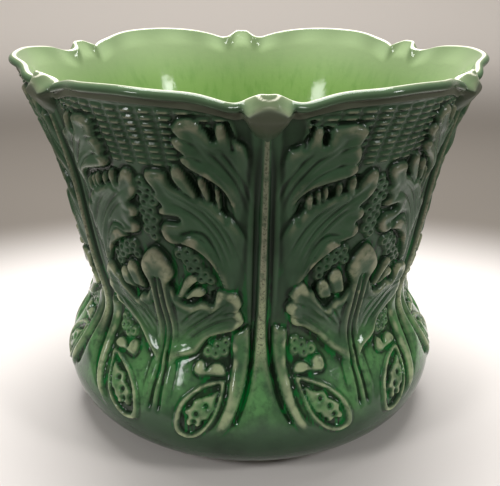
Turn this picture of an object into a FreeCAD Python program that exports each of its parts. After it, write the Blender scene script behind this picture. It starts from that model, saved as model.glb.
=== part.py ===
"""Flared, six-lobed earthenware jardiniere with moulded leaf ornament.

Millimetres. +Z is up, the floor is Z = 0 and the vessel's axis is the Z axis. The ornament repeats six
times round the vessel: azimuth 0 is the front (-Y), where the first main stem stands, and it grows
towards +X. Every place on the ornament is drawn as (azimuth in degrees, level in millimetres).
"""
import FreeCAD, Part
import math
import os
import Sketcher

REPEATS = 6
PITCH = 360.0 / REPEATS
UP = FreeCAD.Vector(0, 0, 1)

# Driving dimensions: alias, value, what it is
SIZES = (
    ("lip_height", 206.4, "top of the rim roll at the middle of a lobe"),
    ("lip_radius", 124.9, "mean radius of the wall's line, carried up to the lip"),
    ("flare_level", 176.0, "level of the flare under the rim"),
    ("flare_radius", 113.0, "mean radius of the wall at the flare"),
    ("breast_level", 144.0, "level of the breast"),
    ("breast_radius", 103.9, "radius of the wall at the breast"),
    ("midriff_level", 97.0, "level above the waist"),
    ("midriff_radius", 95.0, "radius of the wall there"),
    ("waist_level", 74.0, "level of the narrow waist"),
    ("waist_radius", 91.6, "radius of the wall at the waist"),
    ("haunch_level", 56.5, "level where the belly swells out"),
    ("haunch_radius", 100.0, "radius of the wall there"),
    ("belly_level", 34.0, "level of the fullest belly"),
    ("belly_radius", 110.3, "radius of the wall at the belly"),
    ("heel_level", 12.0, "level where the belly turns under"),
    ("heel_radius", 103.0, "radius of the wall there"),
    ("underside_radius", 92.0, "radius of the wall's lowest edge"),
    ("wall_thickness", 5.0, "thickness of the cast wall"),
    ("lobe_depth", 4.3, "how far each lobe swells out at the lip"),
    ("lobe_start_level", 130.0, "level below which the vessel is round"),
    ("foot_height", 3.0, "height of the foot ring"),
    ("foot_outer_radius", 88.0, "outside of the foot ring"),
    ("foot_inner_radius", 74.0, "inside of the foot ring"),
    ("foot_edge_radius", 1.0, "rounding of the foot ring's edges"),
    ("floor_radius", 80.0, "radius of the floor disc"),
    ("floor_thickness", 6.0, "thickness of the floor disc"),
    ("rim_seat_level", 193.0, "level where the rim stands on the wall"),
    ("dip_height", 200.0, "top of the rim beside a knob"),
    ("knob_top_height", 204.0, "top of a knob"),
    ("rim_thickness", 5.4, "thickness of the rim from its face to its back"),
    ("roll_overhang", 2.0, "how far the roll stands out from the wall under it"),
    ("roll_depth", 5.2, "height of the roll's overhang"),
    ("knob_overhang", 6.0, "how far a knob stands out from the wall under it"),
    ("knob_half_angle", 6.5, "half the angle that a knob takes, in degrees"),
    ("stem_relief", 5.0, "how far a main stem stands out"),
    ("leaf_relief", 3.6, "how far a leaf stands out"),
    ("pod_relief", 2.4, "how far a pod's ridge stands out"),
    ("seed_relief", 1.8, "how far seeds and buds stand out"),
    ("belly_relief_share", 0.45, "share of a stem's or leaf's relief that is left over the belly"),
    ("weave_relief", 1.3, "how far a basketweave stroke stands out"),
    ("weave_sink", 0.05, "how deep a flat stroke beds into the round wall"),
    ("stroke_length", 5.6, "length of a basketweave stroke"),
    ("stroke_width", 1.5, "width of a basketweave stroke"),
    ("weave_row_pitch", 3.15, "height from one row of strokes to the next"),
    ("weave_low_level", 171.0, "level of the lowest row"),
)
WEAVE_COLUMNS = 16
WEAVE_ROWS = 9

doc = FreeCAD.newDocument("Jardiniere")
sheet = doc.addObject("Spreadsheet::Sheet", "Sizes")
for row, (alias, value, meaning) in enumerate(SIZES, start=1):
    sheet.set(f"A{row}", meaning)
    sheet.set(f"B{row}", str(value))
    sheet.setAlias(f"B{row}", alias)
doc.recompute()


def size(alias):
    """One driving dimension, read from the spreadsheet."""
    return float(sheet.get(alias))


# ---------------------------------------------------------------- the wall's profile

STATIONS = (
    (size("underside_radius"), size("foot_height")),
    (size("heel_radius"), size("heel_level")),
    (size("belly_radius"), size("belly_level")),
    (size("haunch_radius"), size("haunch_level")),
    (size("waist_radius"), size("waist_level")),
    (size("midriff_radius"), size("midriff_level")),
    (size("breast_radius"), size("breast_level")),
    (size("flare_radius"), size("flare_level")),
    (size("lip_radius"), size("lip_height")),
)


def profile_curve(stand_off, belly_share=1.0):
    """The wall's line in the XZ plane, moved outward by stand_off at right angles to itself.

    Only belly_share of stand_off is left from the belly down.
    """
    line = Part.BSplineCurve()
    line.interpolate([FreeCAD.Vector(radius, 0, level) for radius, level in STATIONS])
    if stand_off == 0:
        return line
    moved = []
    for radius, level in STATIONS:
        share = belly_share if level <= size("belly_level") else 1.0
        here = FreeCAD.Vector(radius, 0, level)
        along = line.tangent(line.parameter(here))[0]
        outward = FreeCAD.Vector(along.z, 0, -along.x)
        moved.append(here + outward * stand_off * share)
    curve = Part.BSplineCurve()
    curve.interpolate(moved)
    return curve


def radius_at(curve, level):
    """Radius of a profile curve at a level; past its ends the curve runs on straight."""
    low = curve.FirstParameter
    high = curve.LastParameter
    for end in (low, high):
        tip = curve.value(end)
        along = curve.tangent(end)[0]
        past_end = (level - tip.z) * (1 if end == high else -1) >= 0
        if past_end:
            return tip.x + (level - tip.z) * along.x / along.z
    halvings = 40
    for _ in range(halvings):
        middle = (low + high) / 2
        if curve.value(middle).z < level:
            low = middle
        else:
            high = middle
    return curve.value(middle).x


def lobe_at(level, azimuth):
    """How far the lobes move the wall out at a level and an azimuth in degrees."""
    rise = (level - size("lobe_start_level")) / (size("lip_height") - size("lobe_start_level"))
    swell = size("lobe_depth") * max(0.0, rise) ** 1.5
    return -swell * math.cos(math.radians(REPEATS * azimuth))


OUTER_LINE = profile_curve(0)
INNER_LINE = profile_curve(-size("wall_thickness"))


def outer_radius(level, azimuth):
    """Radius of the wall's outer face."""
    return radius_at(OUTER_LINE, level) + lobe_at(level, azimuth)


def inner_radius(level, azimuth):
    """Radius of the wall's inner face."""
    return radius_at(INNER_LINE, level) + lobe_at(level, azimuth)


def section_levels(low, high):
    """Levels of the loft's sections: both ends, the stations between them and their midpoints."""
    levels = [level for radius, level in STATIONS]
    middles = [(below + above) / 2 for below, above in zip(levels, levels[1:])]
    margin = size("wall_thickness") / 4
    inside = [level for level in sorted(levels + middles) if low + margin < level < high - margin]
    return [low] + inside + [high]


def lobed_form(curve, low, high):
    """A filled solid whose side follows a profile curve and the lobes, between two levels."""
    points_per_lobe = 4
    steps = points_per_lobe * REPEATS
    wires = []
    for level in section_levels(low, high):
        round_radius = radius_at(curve, level)
        ring = []
        for step in range(steps):
            azimuth = 360.0 * step / steps
            reach = round_radius + lobe_at(level, azimuth)
            angle = math.radians(azimuth)
            ring.append(FreeCAD.Vector(reach * math.sin(angle), -reach * math.cos(angle), level))
        curve_round = Part.BSplineCurve()
        curve_round.interpolate(ring, PeriodicFlag=True)
        wires.append(Part.Wire([curve_round.toShape()]))
    return Part.makeLoft(wires, True, False)


def add_shape(name, shape, placement=None):
    """A document object that holds a computed shape."""
    feature = doc.addObject("Part::Feature", name)
    feature.Shape = shape
    if placement is not None:
        feature.Placement = placement
    return feature


def turned(azimuth):
    """A placement that turns a piece about the vessel's axis to an azimuth."""
    return FreeCAD.Placement(FreeCAD.Vector(0, 0, 0), FreeCAD.Rotation(UP, azimuth))


KEPT = []


def keep(feature, label):
    """Name a finished sub-part and put it on the list of what is written."""
    feature.Label = label
    KEPT.append(feature)
    return feature


def repeat_round(master, family):
    """Keep a piece as number 1 of its family and set its copies round the vessel."""
    keep(master, f"{family}_1")
    for number in range(2, REPEATS + 1):
        copy = doc.addObject("Part::Compound", f"{family}_{number}")
        copy.Links = [master]
        copy.Placement = turned(PITCH * (number - 1))
        keep(copy, f"{family}_{number}")


# ---------------------------------------------------------------- wall, floor and foot

FLOOR_TOP = size("foot_height") + size("floor_thickness")

# The filled vessel up to the lip, and the space inside it
ground_form = add_shape("ground_form", lobed_form(OUTER_LINE, size("foot_height"), size("lip_height")))
hollow_form = add_shape("hollow_form", lobed_form(INNER_LINE, FLOOR_TOP, size("lip_height")))

floor_seat = doc.addObject("Part::Cylinder", "floor_seat")
floor_seat.setExpression("Radius", "Sizes.floor_radius")
floor_seat.setExpression("Height", "Sizes.foot_height + Sizes.floor_thickness")

rim_space = doc.addObject("Part::Cylinder", "rim_space")
rim_space.setExpression("Radius", "2 * Sizes.lip_radius")
rim_space.setExpression("Height", "Sizes.lip_height")
rim_space.setExpression("Placement.Base.z", "Sizes.rim_seat_level")

vessel_shell = doc.addObject("Part::Cut", "vessel_shell")
vessel_shell.Base = ground_form
vessel_shell.Tool = hollow_form

shell_on_floor = doc.addObject("Part::Cut", "shell_on_floor")
shell_on_floor.Base = vessel_shell
shell_on_floor.Tool = floor_seat

wall_to_rim = doc.addObject("Part::Cut", "wall_to_rim")
wall_to_rim.Base = shell_on_floor
wall_to_rim.Tool = rim_space

# The wall is made in two lengths, luted together at the waist
above_waist = doc.addObject("Part::Cylinder", "above_waist")
above_waist.setExpression("Radius", "2 * Sizes.lip_radius")
above_waist.setExpression("Height", "Sizes.lip_height")
above_waist.setExpression("Placement.Base.z", "Sizes.waist_level")

belly_wall = doc.addObject("Part::Cut", "belly_wall")
belly_wall.Base = wall_to_rim
belly_wall.Tool = above_waist
keep(belly_wall, "belly_wall")

flared_wall = doc.addObject("Part::Common", "flared_wall")
flared_wall.Base = wall_to_rim
flared_wall.Tool = above_waist
keep(flared_wall, "flared_wall")


def body_plane(body, role):
    """One of a body's own origin planes."""
    return next(plane for plane in body.Origin.OriginFeatures if plane.Role == role)


def new_sketch(body, role, name):
    """A sketch on one of a body's origin planes."""
    sketch = body.newObject("Sketcher::SketchObject", name)
    sketch.AttachmentSupport = [(body_plane(body, role), "")]
    sketch.MapMode = "FlatFace"
    return sketch


floor_body = doc.addObject("PartDesign::Body", "vessel_floor")
floor_sketch = new_sketch(floor_body, "XY_Plane", "floor_outline")
floor_sketch.setExpression("AttachmentOffset.Base.z", "Sizes.foot_height")
edge_of_floor = Part.Circle(FreeCAD.Vector(0, 0, 0), UP, size("floor_radius"))
floor_sketch.addGeometry(edge_of_floor, False)
floor_sketch.addConstraint(Sketcher.Constraint("Coincident", 0, 3, -1, 1))
floor_sketch.addConstraint(Sketcher.Constraint("Radius", 0, size("floor_radius")))
floor_sketch.setExpression("Constraints[1]", "Sizes.floor_radius")
floor_pad = floor_body.newObject("PartDesign::Pad", "floor_disc")
floor_pad.Profile = floor_sketch
floor_pad.setExpression("Length", "Sizes.floor_thickness")
keep(floor_body, "vessel_floor")

foot_body = doc.addObject("PartDesign::Body", "foot_ring")
foot_sketch = new_sketch(foot_body, "XY_Plane", "foot_outline")
for index, alias in enumerate(("foot_outer_radius", "foot_inner_radius")):
    edge = Part.Circle(FreeCAD.Vector(0, 0, 0), UP, size(alias))
    foot_sketch.addGeometry(edge, False)
    foot_sketch.addConstraint(Sketcher.Constraint("Coincident", index, 3, -1, 1))
    at = foot_sketch.addConstraint(Sketcher.Constraint("Radius", index, size(alias)))
    foot_sketch.setExpression(f"Constraints[{at}]", f"Sizes.{alias}")
foot_pad = foot_body.newObject("PartDesign::Pad", "foot_pad")
foot_pad.Profile = foot_sketch
foot_pad.setExpression("Length", "Sizes.foot_height")
doc.recompute()

standing_edges = []
for index, edge in enumerate(foot_pad.Shape.Edges, start=1):
    lies_on_floor = edge.BoundBox.ZMax < size("foot_height") / 2
    if lies_on_floor:
        standing_edges.append(f"Edge{index}")
foot_fillet = foot_body.newObject("PartDesign::Fillet", "foot_rounding")
foot_fillet.Base = (foot_pad, standing_edges)
foot_fillet.setExpression("Radius", "Sizes.foot_edge_radius")
foot_body.Tip = foot_fillet
keep(foot_body, "foot_ring")

# ---------------------------------------------------------------- rim

SEAT = size("rim_seat_level")


def in_plane(azimuth, radius, level):
    """A point at a radius and level in the upright plane of an azimuth."""
    angle = math.radians(azimuth)
    return FreeCAD.Vector(radius * math.sin(angle), -radius * math.cos(angle), level)


def rim_section(azimuth, top, overhang):
    """Section of the rim: an upright band on the wall with a roll that leans out over it."""
    ledge = top - size("roll_depth")
    crown = size("roll_depth") / 3
    face = outer_radius(ledge, azimuth) + overhang
    back = face - size("rim_thickness")
    foot_in = in_plane(azimuth, inner_radius(SEAT, azimuth), SEAT)
    foot_out = in_plane(azimuth, outer_radius(SEAT, azimuth), SEAT)
    under = in_plane(azimuth, outer_radius(ledge, azimuth), ledge)
    lip_low = in_plane(azimuth, face, ledge + crown)
    lip_high = in_plane(azimuth, face, top - crown)
    lip_crown = in_plane(azimuth, (face + back) / 2, top)
    lip_back = in_plane(azimuth, back, top - crown)
    edges = [
        Part.LineSegment(foot_in, foot_out).toShape(),
        Part.LineSegment(foot_out, under).toShape(),
        Part.LineSegment(under, lip_low).toShape(),
        Part.LineSegment(lip_low, lip_high).toShape(),
        Part.Arc(lip_high, lip_crown, lip_back).toShape(),
        Part.LineSegment(lip_back, foot_in).toShape(),
    ]
    return Part.Wire(edges)


def roll_top(azimuth):
    """Height of the roll's crown: it rises from the dip beside a knob to the middle of the lobe."""
    from_knob = min(azimuth, PITCH - azimuth)
    share = (from_knob - size("knob_half_angle")) / (PITCH / 2 - size("knob_half_angle"))
    rise = math.sin(share * math.pi / 2) * (size("lip_height") - size("dip_height"))
    return size("dip_height") + rise


def roll_section(azimuth):
    """Section of a lobe's roll."""
    return rim_section(azimuth, roll_top(azimuth), size("roll_overhang"))


def knob_section(azimuth):
    """Section of a knob; it swells up and out from the dips on each side of it."""
    swell = math.cos(azimuth / size("knob_half_angle") * math.pi / 2) ** 2
    top = size("dip_height") + swell * (size("knob_top_height") - size("dip_height"))
    overhang = size("roll_overhang") + swell * (size("knob_overhang") - size("roll_overhang"))
    return rim_section(azimuth, top, overhang)


def spaced(low, high, count):
    """Evenly spaced azimuths from low to high."""
    return [low + (high - low) * step / (count - 1) for step in range(count)]


knob_edge = size("knob_half_angle")
roll_wires = [roll_section(azimuth) for azimuth in spaced(knob_edge, PITCH - knob_edge, 9)]
knob_wires = [knob_section(azimuth) for azimuth in spaced(-knob_edge, knob_edge, 7)]
rim_roll = add_shape("rim_roll_1", Part.makeLoft(roll_wires, True, False))
rim_knob = add_shape("rim_knob_1", Part.makeLoft(knob_wires, True, False))
repeat_round(rim_roll, "rim_roll")
repeat_round(rim_knob, "rim_knob")

# ---------------------------------------------------------------- moulded ornament

# The outlines are drawn at these levels. set_level carries each drawn level to the vessel as it is set.
DRAWN_LEVELS = (
    (0.0, 0.0),
    (34.0, size("belly_level")),
    (74.0, size("waist_level")),
    (144.0, size("breast_level")),
    (206.4, size("lip_height")),
)


def set_level(drawn):
    """The vessel's own level for a drawn one."""
    for (drawn_low, low), (drawn_high, high) in zip(DRAWN_LEVELS, DRAWN_LEVELS[1:]):
        if drawn <= drawn_high:
            break
    return low + (drawn - drawn_low) * (high - low) / (drawn_high - drawn_low)


def outline_wire(outline, centre):
    """A closed smooth line through (azimuth, level) points, flat in the upright plane square to centre."""
    points = []
    for azimuth, drawn in outline:
        level = set_level(drawn)
        across = radius_at(OUTER_LINE, level) * math.sin(math.radians(azimuth - centre))
        points.append(FreeCAD.Vector(across, 0, level))
    curve = Part.BSplineCurve()
    curve.interpolate(points, PeriodicFlag=True)
    stretches = 4
    start = curve.FirstParameter
    span = (curve.LastParameter - start) / stretches
    ends = [start + span * index for index in range(stretches + 1)]
    return Part.Wire([curve.toShape(low, high) for low, high in zip(ends, ends[1:])])


# The filled vessel grown by each relief, up to the roll
GROUND_TOP = size("lip_height") - size("roll_depth")
BELLY_SHARES = {
    "stem_relief": size("belly_relief_share"),
    "leaf_relief": size("belly_relief_share"),
    "pod_relief": 1.0,
    "seed_relief": 1.0,
}
RELIEFS = {}
for alias, belly_share in BELLY_SHARES.items():
    grown = lobed_form(profile_curve(size(alias), belly_share), size("heel_level"), GROUND_TOP)
    RELIEFS[alias] = add_shape(f"{alias}_form", grown)


def sprig(name, centre, relief, outline, hole=None):
    """A raised piece: its outline pushed out at azimuth centre, up to the relief, seated on the wall."""
    wires = [outline_wire(outline, centre)]
    if hole is not None:
        wires.append(outline_wire(hole, centre))
    flat = Part.makeFace(wires, "Part::FaceMakerBullseye")
    face = add_shape(f"{name}_outline", flat, turned(centre))
    angle = math.radians(centre)
    push = doc.addObject("Part::Extrusion", f"{name}_push")
    push.Base = face
    push.DirMode = "Custom"
    push.Dir = FreeCAD.Vector(math.sin(angle), -math.cos(angle), 0)
    push.Solid = True
    push.setExpression("LengthFwd", "2 * Sizes.lip_radius")
    limited = doc.addObject("Part::Common", f"{name}_limited")
    limited.Base = push
    limited.Tool = RELIEFS[relief]
    seated = doc.addObject("Part::Cut", name)
    seated.Base = limited
    seated.Tool = ground_form
    return seated


def sprig_group(family, sprigs):
    """Sprigs that share one node, as separate solids, set six times round the vessel."""
    group = doc.addObject("Part::Compound", f"{family}_1")
    group.Links = sprigs
    repeat_round(group, family)


# Main stem: a tall rib that spreads into a root over the belly
MAIN_STEM = (
    (-1.4, 192.4), (-2.3, 189), (-2.4, 180), (-2.4, 165), (-2.2, 150), (-2.1, 135), (-2.2, 118),
    (-2.5, 100), (-3.1, 87), (-5.6, 80.5), (-8.4, 76.0),
    (-8.6, 64), (-9.3, 54), (-9.8, 46.5), (-12.2, 37.5), (-8.5, 36.0), (-5.0, 40.0), (0.0, 37.0),
    (5.0, 40.0), (8.5, 36.0), (12.4, 37.5), (9.8, 47), (8.6, 56), (8.0, 66), (8.0, 76), (5.8, 81),
    (3.3, 87), (2.7, 100), (2.4, 118), (2.3, 135), (2.4, 150), (2.5, 165), (2.5, 180), (2.4, 189),
    (1.5, 192.4),
)
repeat_round(sprig("main_stem_1", 0.0, "stem_relief", MAIN_STEM), "main_stem")

# Upper leaves: a tall scalloped leaf on each side of the stem's top
UPPER_LEAF_LEFT = (
    (-4.4, 180.6), (-6.6, 180), (-8.3, 184), (-9.0, 191), (-10.4, 191), (-10.8, 185.5), (-12.4, 187),
    (-14.0, 193), (-17.4, 193.6), (-19.2, 189.5), (-19.0, 186), (-19.8, 182.5), (-18.4, 177.4),
    (-18.6, 173.5), (-16.2, 169.3), (-12.4, 164.8), (-9.4, 159), (-7.8, 151), (-6.4, 144.5),
    (-4.2, 145.5), (-3.7, 152), (-3.6, 164), (-3.7, 176),
)
UPPER_LEAF_RIGHT = (
    (4.6, 179.6), (6.6, 180), (8.0, 184), (9.6, 189), (11.2, 188.5), (12.0, 183), (13.6, 188.5),
    (16.8, 190.8), (20.2, 189.6), (21.2, 185.5), (20.4, 180.6), (21.3, 175.5), (21.6, 169),
    (18.4, 164.6), (13.2, 161.6), (9.4, 157.8), (7.6, 151), (6.4, 144), (4.4, 145), (3.9, 152),
    (3.8, 164), (3.9, 174),
)
sprig_group("upper_leaf", (
    sprig("upper_leaf_left", -11.0, "leaf_relief", UPPER_LEAF_LEFT),
    sprig("upper_leaf_right", 11.0, "leaf_relief", UPPER_LEAF_RIGHT),
))

# Lower leaves: their fingers reach up behind the upper leaves, and a lobe hangs below
LOWER_LEAF_LEFT = (
    (-8.2, 144.5), (-10.8, 150), (-11.6, 160.3), (-13.6, 157.5), (-14.8, 165.4), (-16.6, 159),
    (-20.0, 171), (-21.0, 162), (-22.8, 167.0), (-27.6, 167.2), (-28.2, 162), (-26.8, 157),
    (-27.2, 153.5), (-25.8, 150), (-26.8, 146.5), (-22.2, 144.2), (-26.4, 139.5), (-26.8, 134.5),
    (-24.6, 130.2), (-22.4, 131.4), (-20.0, 137.0), (-16.0, 137.4), (-13.0, 132), (-10.6, 122),
    (-8.8, 112), (-6.4, 109.4), (-4.5, 112), (-4.2, 120), (-4.3, 130), (-5.4, 139),
)
LOWER_LEAF_RIGHT = (
    (8.2, 145), (10.0, 149.5), (10.6, 156.2), (13.0, 156.4), (14.8, 159.6), (16.6, 156), (18.4, 160.6),
    (20.0, 157.4), (21.6, 163.8), (23.6, 161.4), (26.4, 166.6), (28.2, 163.6), (28.4, 156.5),
    (25.6, 150), (26.6, 143.5), (25.4, 139.6), (26.2, 134.8), (23.8, 134.2), (19.4, 135.0),
    (15.4, 132.4), (12.2, 123.5), (9.2, 112), (6.6, 109.6), (4.7, 112), (4.3, 120), (4.5, 130),
    (5.6, 139),
)
CURL_LEFT = (
    (-21.0, 131.8), (-18.6, 134.6), (-15.9, 133.0), (-13.4, 126.5), (-11.4, 117), (-10.4, 110),
    (-11.8, 112.4), (-14.0, 120.6), (-16.6, 127.0), (-18.6, 130.0),
)
CURL_RIGHT = (
    (21.0, 130.0), (19.0, 131.8), (16.4, 130.0), (13.6, 123.0), (11.7, 115.8), (10.9, 111.4),
    (12.2, 113.2), (14.6, 119.8), (17.4, 125.8), (19.4, 128.6),
)
sprig_group("lower_leaf", (
    sprig("lower_leaf_left", -16.0, "leaf_relief", LOWER_LEAF_LEFT),
    sprig("lower_leaf_right", 16.0, "leaf_relief", LOWER_LEAF_RIGHT),
    sprig("curl_left", -16.0, "leaf_relief", CURL_LEFT),
    sprig("curl_right", 16.0, "leaf_relief", CURL_RIGHT),
))

# Waist leaf: a spatulate leaf between two stems, with a side spray on each hand and a long midrib
WAIST_LEAF = (
    (30.2, 127), (33.4, 120.8), (35.2, 114.5), (34.0, 109), (33.6, 104), (38.4, 112), (41.4, 113.6),
    (41.0, 108.4), (43.6, 106.6), (43.2, 102.2), (39.0, 99.5), (41.6, 98.6), (46.0, 98.2), (46.8, 103),
    (48.8, 106.0), (52.2, 105.0), (54.3, 100), (54.0, 94), (55.0, 89), (53.0, 83.6), (46.4, 78.0),
    (40.4, 68.2), (34.8, 63.4), (32.6, 55), (32.2, 39), (30.0, 36.6), (27.8, 39), (27.6, 55),
    (25.0, 64), (20.6, 72), (15.8, 79.4), (10.8, 84.4), (8.6, 90.5), (7.4, 95.5), (8.4, 100.6),
    (8.2, 105.0), (11.6, 110.0), (14.2, 104), (16.8, 109.6), (18.6, 109.4), (19.4, 114.6),
    (21.8, 114.8), (24.8, 104.4), (25.8, 110), (25.0, 115.6), (27.2, 122.8),
)
repeat_round(sprig("waist_leaf_1", 30.0, "leaf_relief", WAIST_LEAF), "waist_leaf")

# Pods: a teardrop ridge round a seed mass, with a row of buds above, on each side of a stem's root
POD_LEFT = (
    (-10.3, 56.6), (-14.0, 56.0), (-18.5, 52.4), (-22.0, 46.4), (-23.6, 38), (-23.0, 30.6),
    (-20.2, 28.2), (-17.2, 29.4), (-14.4, 34.4), (-12.6, 40), (-11.0, 47),
)
POD_LEFT_HOLLOW = (
    (-11.6, 54.2), (-15.0, 53.0), (-19.0, 48.8), (-21.6, 42.8), (-22.2, 36), (-20.8, 30.4),
    (-17.8, 32.0), (-14.8, 37.6), (-12.6, 45.2),
)
POD_LEFT_SEEDS = (
    (-12.0, 51.6), (-15.8, 49.4), (-18.6, 46.4), (-20.4, 41), (-19.8, 35.6), (-17.2, 35.8),
    (-14.8, 40.2), (-13.2, 46),
)
POD_RIGHT = (
    (10.0, 57.6), (14.0, 56.4), (19.0, 52.6), (23.4, 45.4), (25.2, 37), (23.6, 30.8), (20.4, 29.4),
    (17.0, 31.6), (14.0, 37.6), (12.4, 43), (11.0, 50),
)
POD_RIGHT_HOLLOW = (
    (12.0, 54.4), (15.4, 53.0), (19.6, 49.0), (22.8, 42.6), (23.6, 36), (21.0, 31.6), (17.8, 34.0),
    (15.0, 39.4), (12.6, 47.2),
)
POD_RIGHT_SEEDS = (
    (13.4, 51.8), (16.4, 50.4), (19.4, 46.6), (21.8, 41.6), (21.6, 36.4), (18.4, 36.0), (15.6, 41),
    (13.8, 46),
)
BUDS_LEFT = (
    (-19.6, 59.4), (-19.2, 63.6), (-17.6, 64.4), (-16.2, 61.4), (-14.4, 64), (-11.4, 63.6),
    (-10.2, 59.6), (-14.6, 58.2),
)
BUDS_RIGHT = (
    (19.6, 59.4), (19.4, 65.4), (17.6, 66.0), (15.4, 62.2), (13.6, 64.2), (10.6, 63.4), (9.8, 60.0),
    (14.6, 59.6),
)
sprig_group("seed_pod", (
    sprig("pod_left", -17.0, "pod_relief", POD_LEFT, POD_LEFT_HOLLOW),
    sprig("pod_left_seeds", -17.0, "seed_relief", POD_LEFT_SEEDS),
    sprig("buds_left", -15.0, "seed_relief", BUDS_LEFT),
    sprig("pod_right", 18.0, "pod_relief", POD_RIGHT, POD_RIGHT_HOLLOW),
    sprig("pod_right_seeds", 18.0, "seed_relief", POD_RIGHT_SEEDS),
    sprig("buds_right", 15.0, "seed_relief", BUDS_RIGHT),
))

# Seed heads: low knobbly patches that fill the gaps between the leaves
SEEDS_BETWEEN = (
    (28.4, 132), (28.6, 138), (28.4, 144), (29.6, 150), (30.0, 156), (30.0, 161), (31.2, 160),
    (31.4, 154), (32.4, 148), (32.2, 141), (31.6, 136), (31.8, 132), (30.2, 130.4),
)
SEEDS_HIGH_LEFT = (
    (-21.6, 126.2), (-19.6, 126.6), (-17.2, 122.6), (-15.2, 117.4), (-13.4, 111), (-14.2, 108.6),
    (-16.8, 110.6), (-18.6, 116.4), (-21.6, 119.6),
)
SEEDS_HIGH_RIGHT = (
    (22.4, 125.4), (20.4, 125.4), (18.2, 121.6), (16.0, 117.0), (14.8, 112.8), (16.2, 111.8),
    (18.4, 116.4), (21.0, 117.2), (23.0, 120.0),
)
SEEDS_LOW_LEFT = ((-16.8, 69.6), (-13.6, 73.0), (-10.6, 74.0), (-10.2, 68.2), (-13.4, 66.4), (-16.4, 66.8))
SEEDS_LOW_RIGHT = ((10.0, 72.6), (11.6, 76), (14.4, 74.2), (17.2, 70.6), (15.6, 67.6), (11.2, 67.6))
sprig_group("seed_cluster", (
    sprig("seeds_between", 30.0, "seed_relief", SEEDS_BETWEEN),
    sprig("seeds_high_left", -17.0, "seed_relief", SEEDS_HIGH_LEFT),
    sprig("seeds_high_right", 18.0, "seed_relief", SEEDS_HIGH_RIGHT),
    sprig("seeds_low_left", -14.0, "seed_relief", SEEDS_LOW_LEFT),
    sprig("seeds_low_right", 14.0, "seed_relief", SEEDS_LOW_RIGHT),
))

# ---------------------------------------------------------------- basketweave

# Edge of the left and right upper leaf that the weave stops at: (level, azimuth from the stem)
LEAF_EDGE_RIGHT = ((200.0, 9.5), (196.0, 13.0), (192.0, 22.0), (168.0, 23.6))
LEAF_EDGE_LEFT = ((200.0, 9.5), (197.0, 13.0), (193.0, 20.4), (184.0, 21.4), (168.0, 20.6))


def edge_azimuth(edge, level):
    """Azimuth of a leaf's edge at a level, by straight lines between its points."""
    for (high, azimuth_high), (low, azimuth_low) in zip(edge, edge[1:]):
        if level >= low:
            break
    share = (level - low) / (high - low)
    return azimuth_low + share * (azimuth_high - azimuth_low)


def weave_stroke(azimuth, level):
    """One raised stroke: a small block laid flat on the wall."""
    step = size("stroke_width")
    above = outer_radius(level + step, azimuth)
    below = outer_radius(level - step, azimuth)
    lean = math.degrees(math.atan2(above - below, 2 * step))
    block = Part.makeBox(size("stroke_length"), size("weave_relief") + size("weave_sink"),
                         size("stroke_width"))
    block.translate(FreeCAD.Vector(-size("stroke_length") / 2, -size("weave_relief"),
                                   -size("stroke_width") / 2))
    block.rotate(FreeCAD.Vector(0, 0, 0), FreeCAD.Vector(1, 0, 0), lean)
    block.translate(FreeCAD.Vector(0, -outer_radius(level, azimuth), level))
    block.rotate(FreeCAD.Vector(0, 0, 0), UP, azimuth)
    return block


strokes = []
for weave_row in range(WEAVE_ROWS):
    drawn_row = size("weave_low_level") + weave_row * size("weave_row_pitch")
    row_level = set_level(drawn_row)
    for column in range(WEAVE_COLUMNS):
        column_azimuth = (column + 0.5) * PITCH / WEAVE_COLUMNS
        half_stroke = math.degrees(size("stroke_length") / 2 / size("lip_radius"))
        clear_of_left = column_azimuth - half_stroke > edge_azimuth(LEAF_EDGE_RIGHT, drawn_row)
        clear_of_right = PITCH - column_azimuth - half_stroke > edge_azimuth(LEAF_EDGE_LEFT, drawn_row)
        under_roll = row_level + size("stroke_width") < roll_top(column_azimuth) - size("roll_depth")
        if clear_of_left and clear_of_right and under_roll:
            strokes.append(weave_stroke(column_azimuth, row_level))
weave_panel = add_shape("weave_panel_1", Part.makeCompound(strokes))
repeat_round(weave_panel, "weave_panel")

# ---------------------------------------------------------------- checks and output

doc.recompute()
for item in doc.Objects:
    if "Invalid" in item.State or "Error" in item.State:
        raise RuntimeError(f"{item.Name} failed to compute: {item.State}")
for part in KEPT:
    if part.Shape.isNull() or not part.Shape.isValid():
        raise RuntimeError(f"{part.Label} has no valid shape")
    if not part.Shape.Solids:
        raise RuntimeError(f"{part.Label} holds no solid")

os.makedirs("parts", exist_ok=True)
for part in KEPT:
    part.Shape.exportStep(f"parts/{part.Label}.step")
total = sum(part.Shape.Volume for part in KEPT)
print(f"{len(KEPT)} sub-parts, {total / 1000:.1f} cubic centimetres")
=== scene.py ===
"""Looks of a flared, six-lobed jardiniere in green lead-glazed earthenware.

The relief is one field of heights over the vessel's wall, drawn as outlines, ribs and grooves at
(azimuth in degrees, level in millimetres) and repeated six times round. The field is then parted along
the outlines into closed pieces, one for each piece of the frame, which meet without a step.
"""
import logging
import math
from dataclasses import dataclass, field
from enum import Enum

import bpy
import numpy as np
from mathutils import Matrix, Vector


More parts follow.
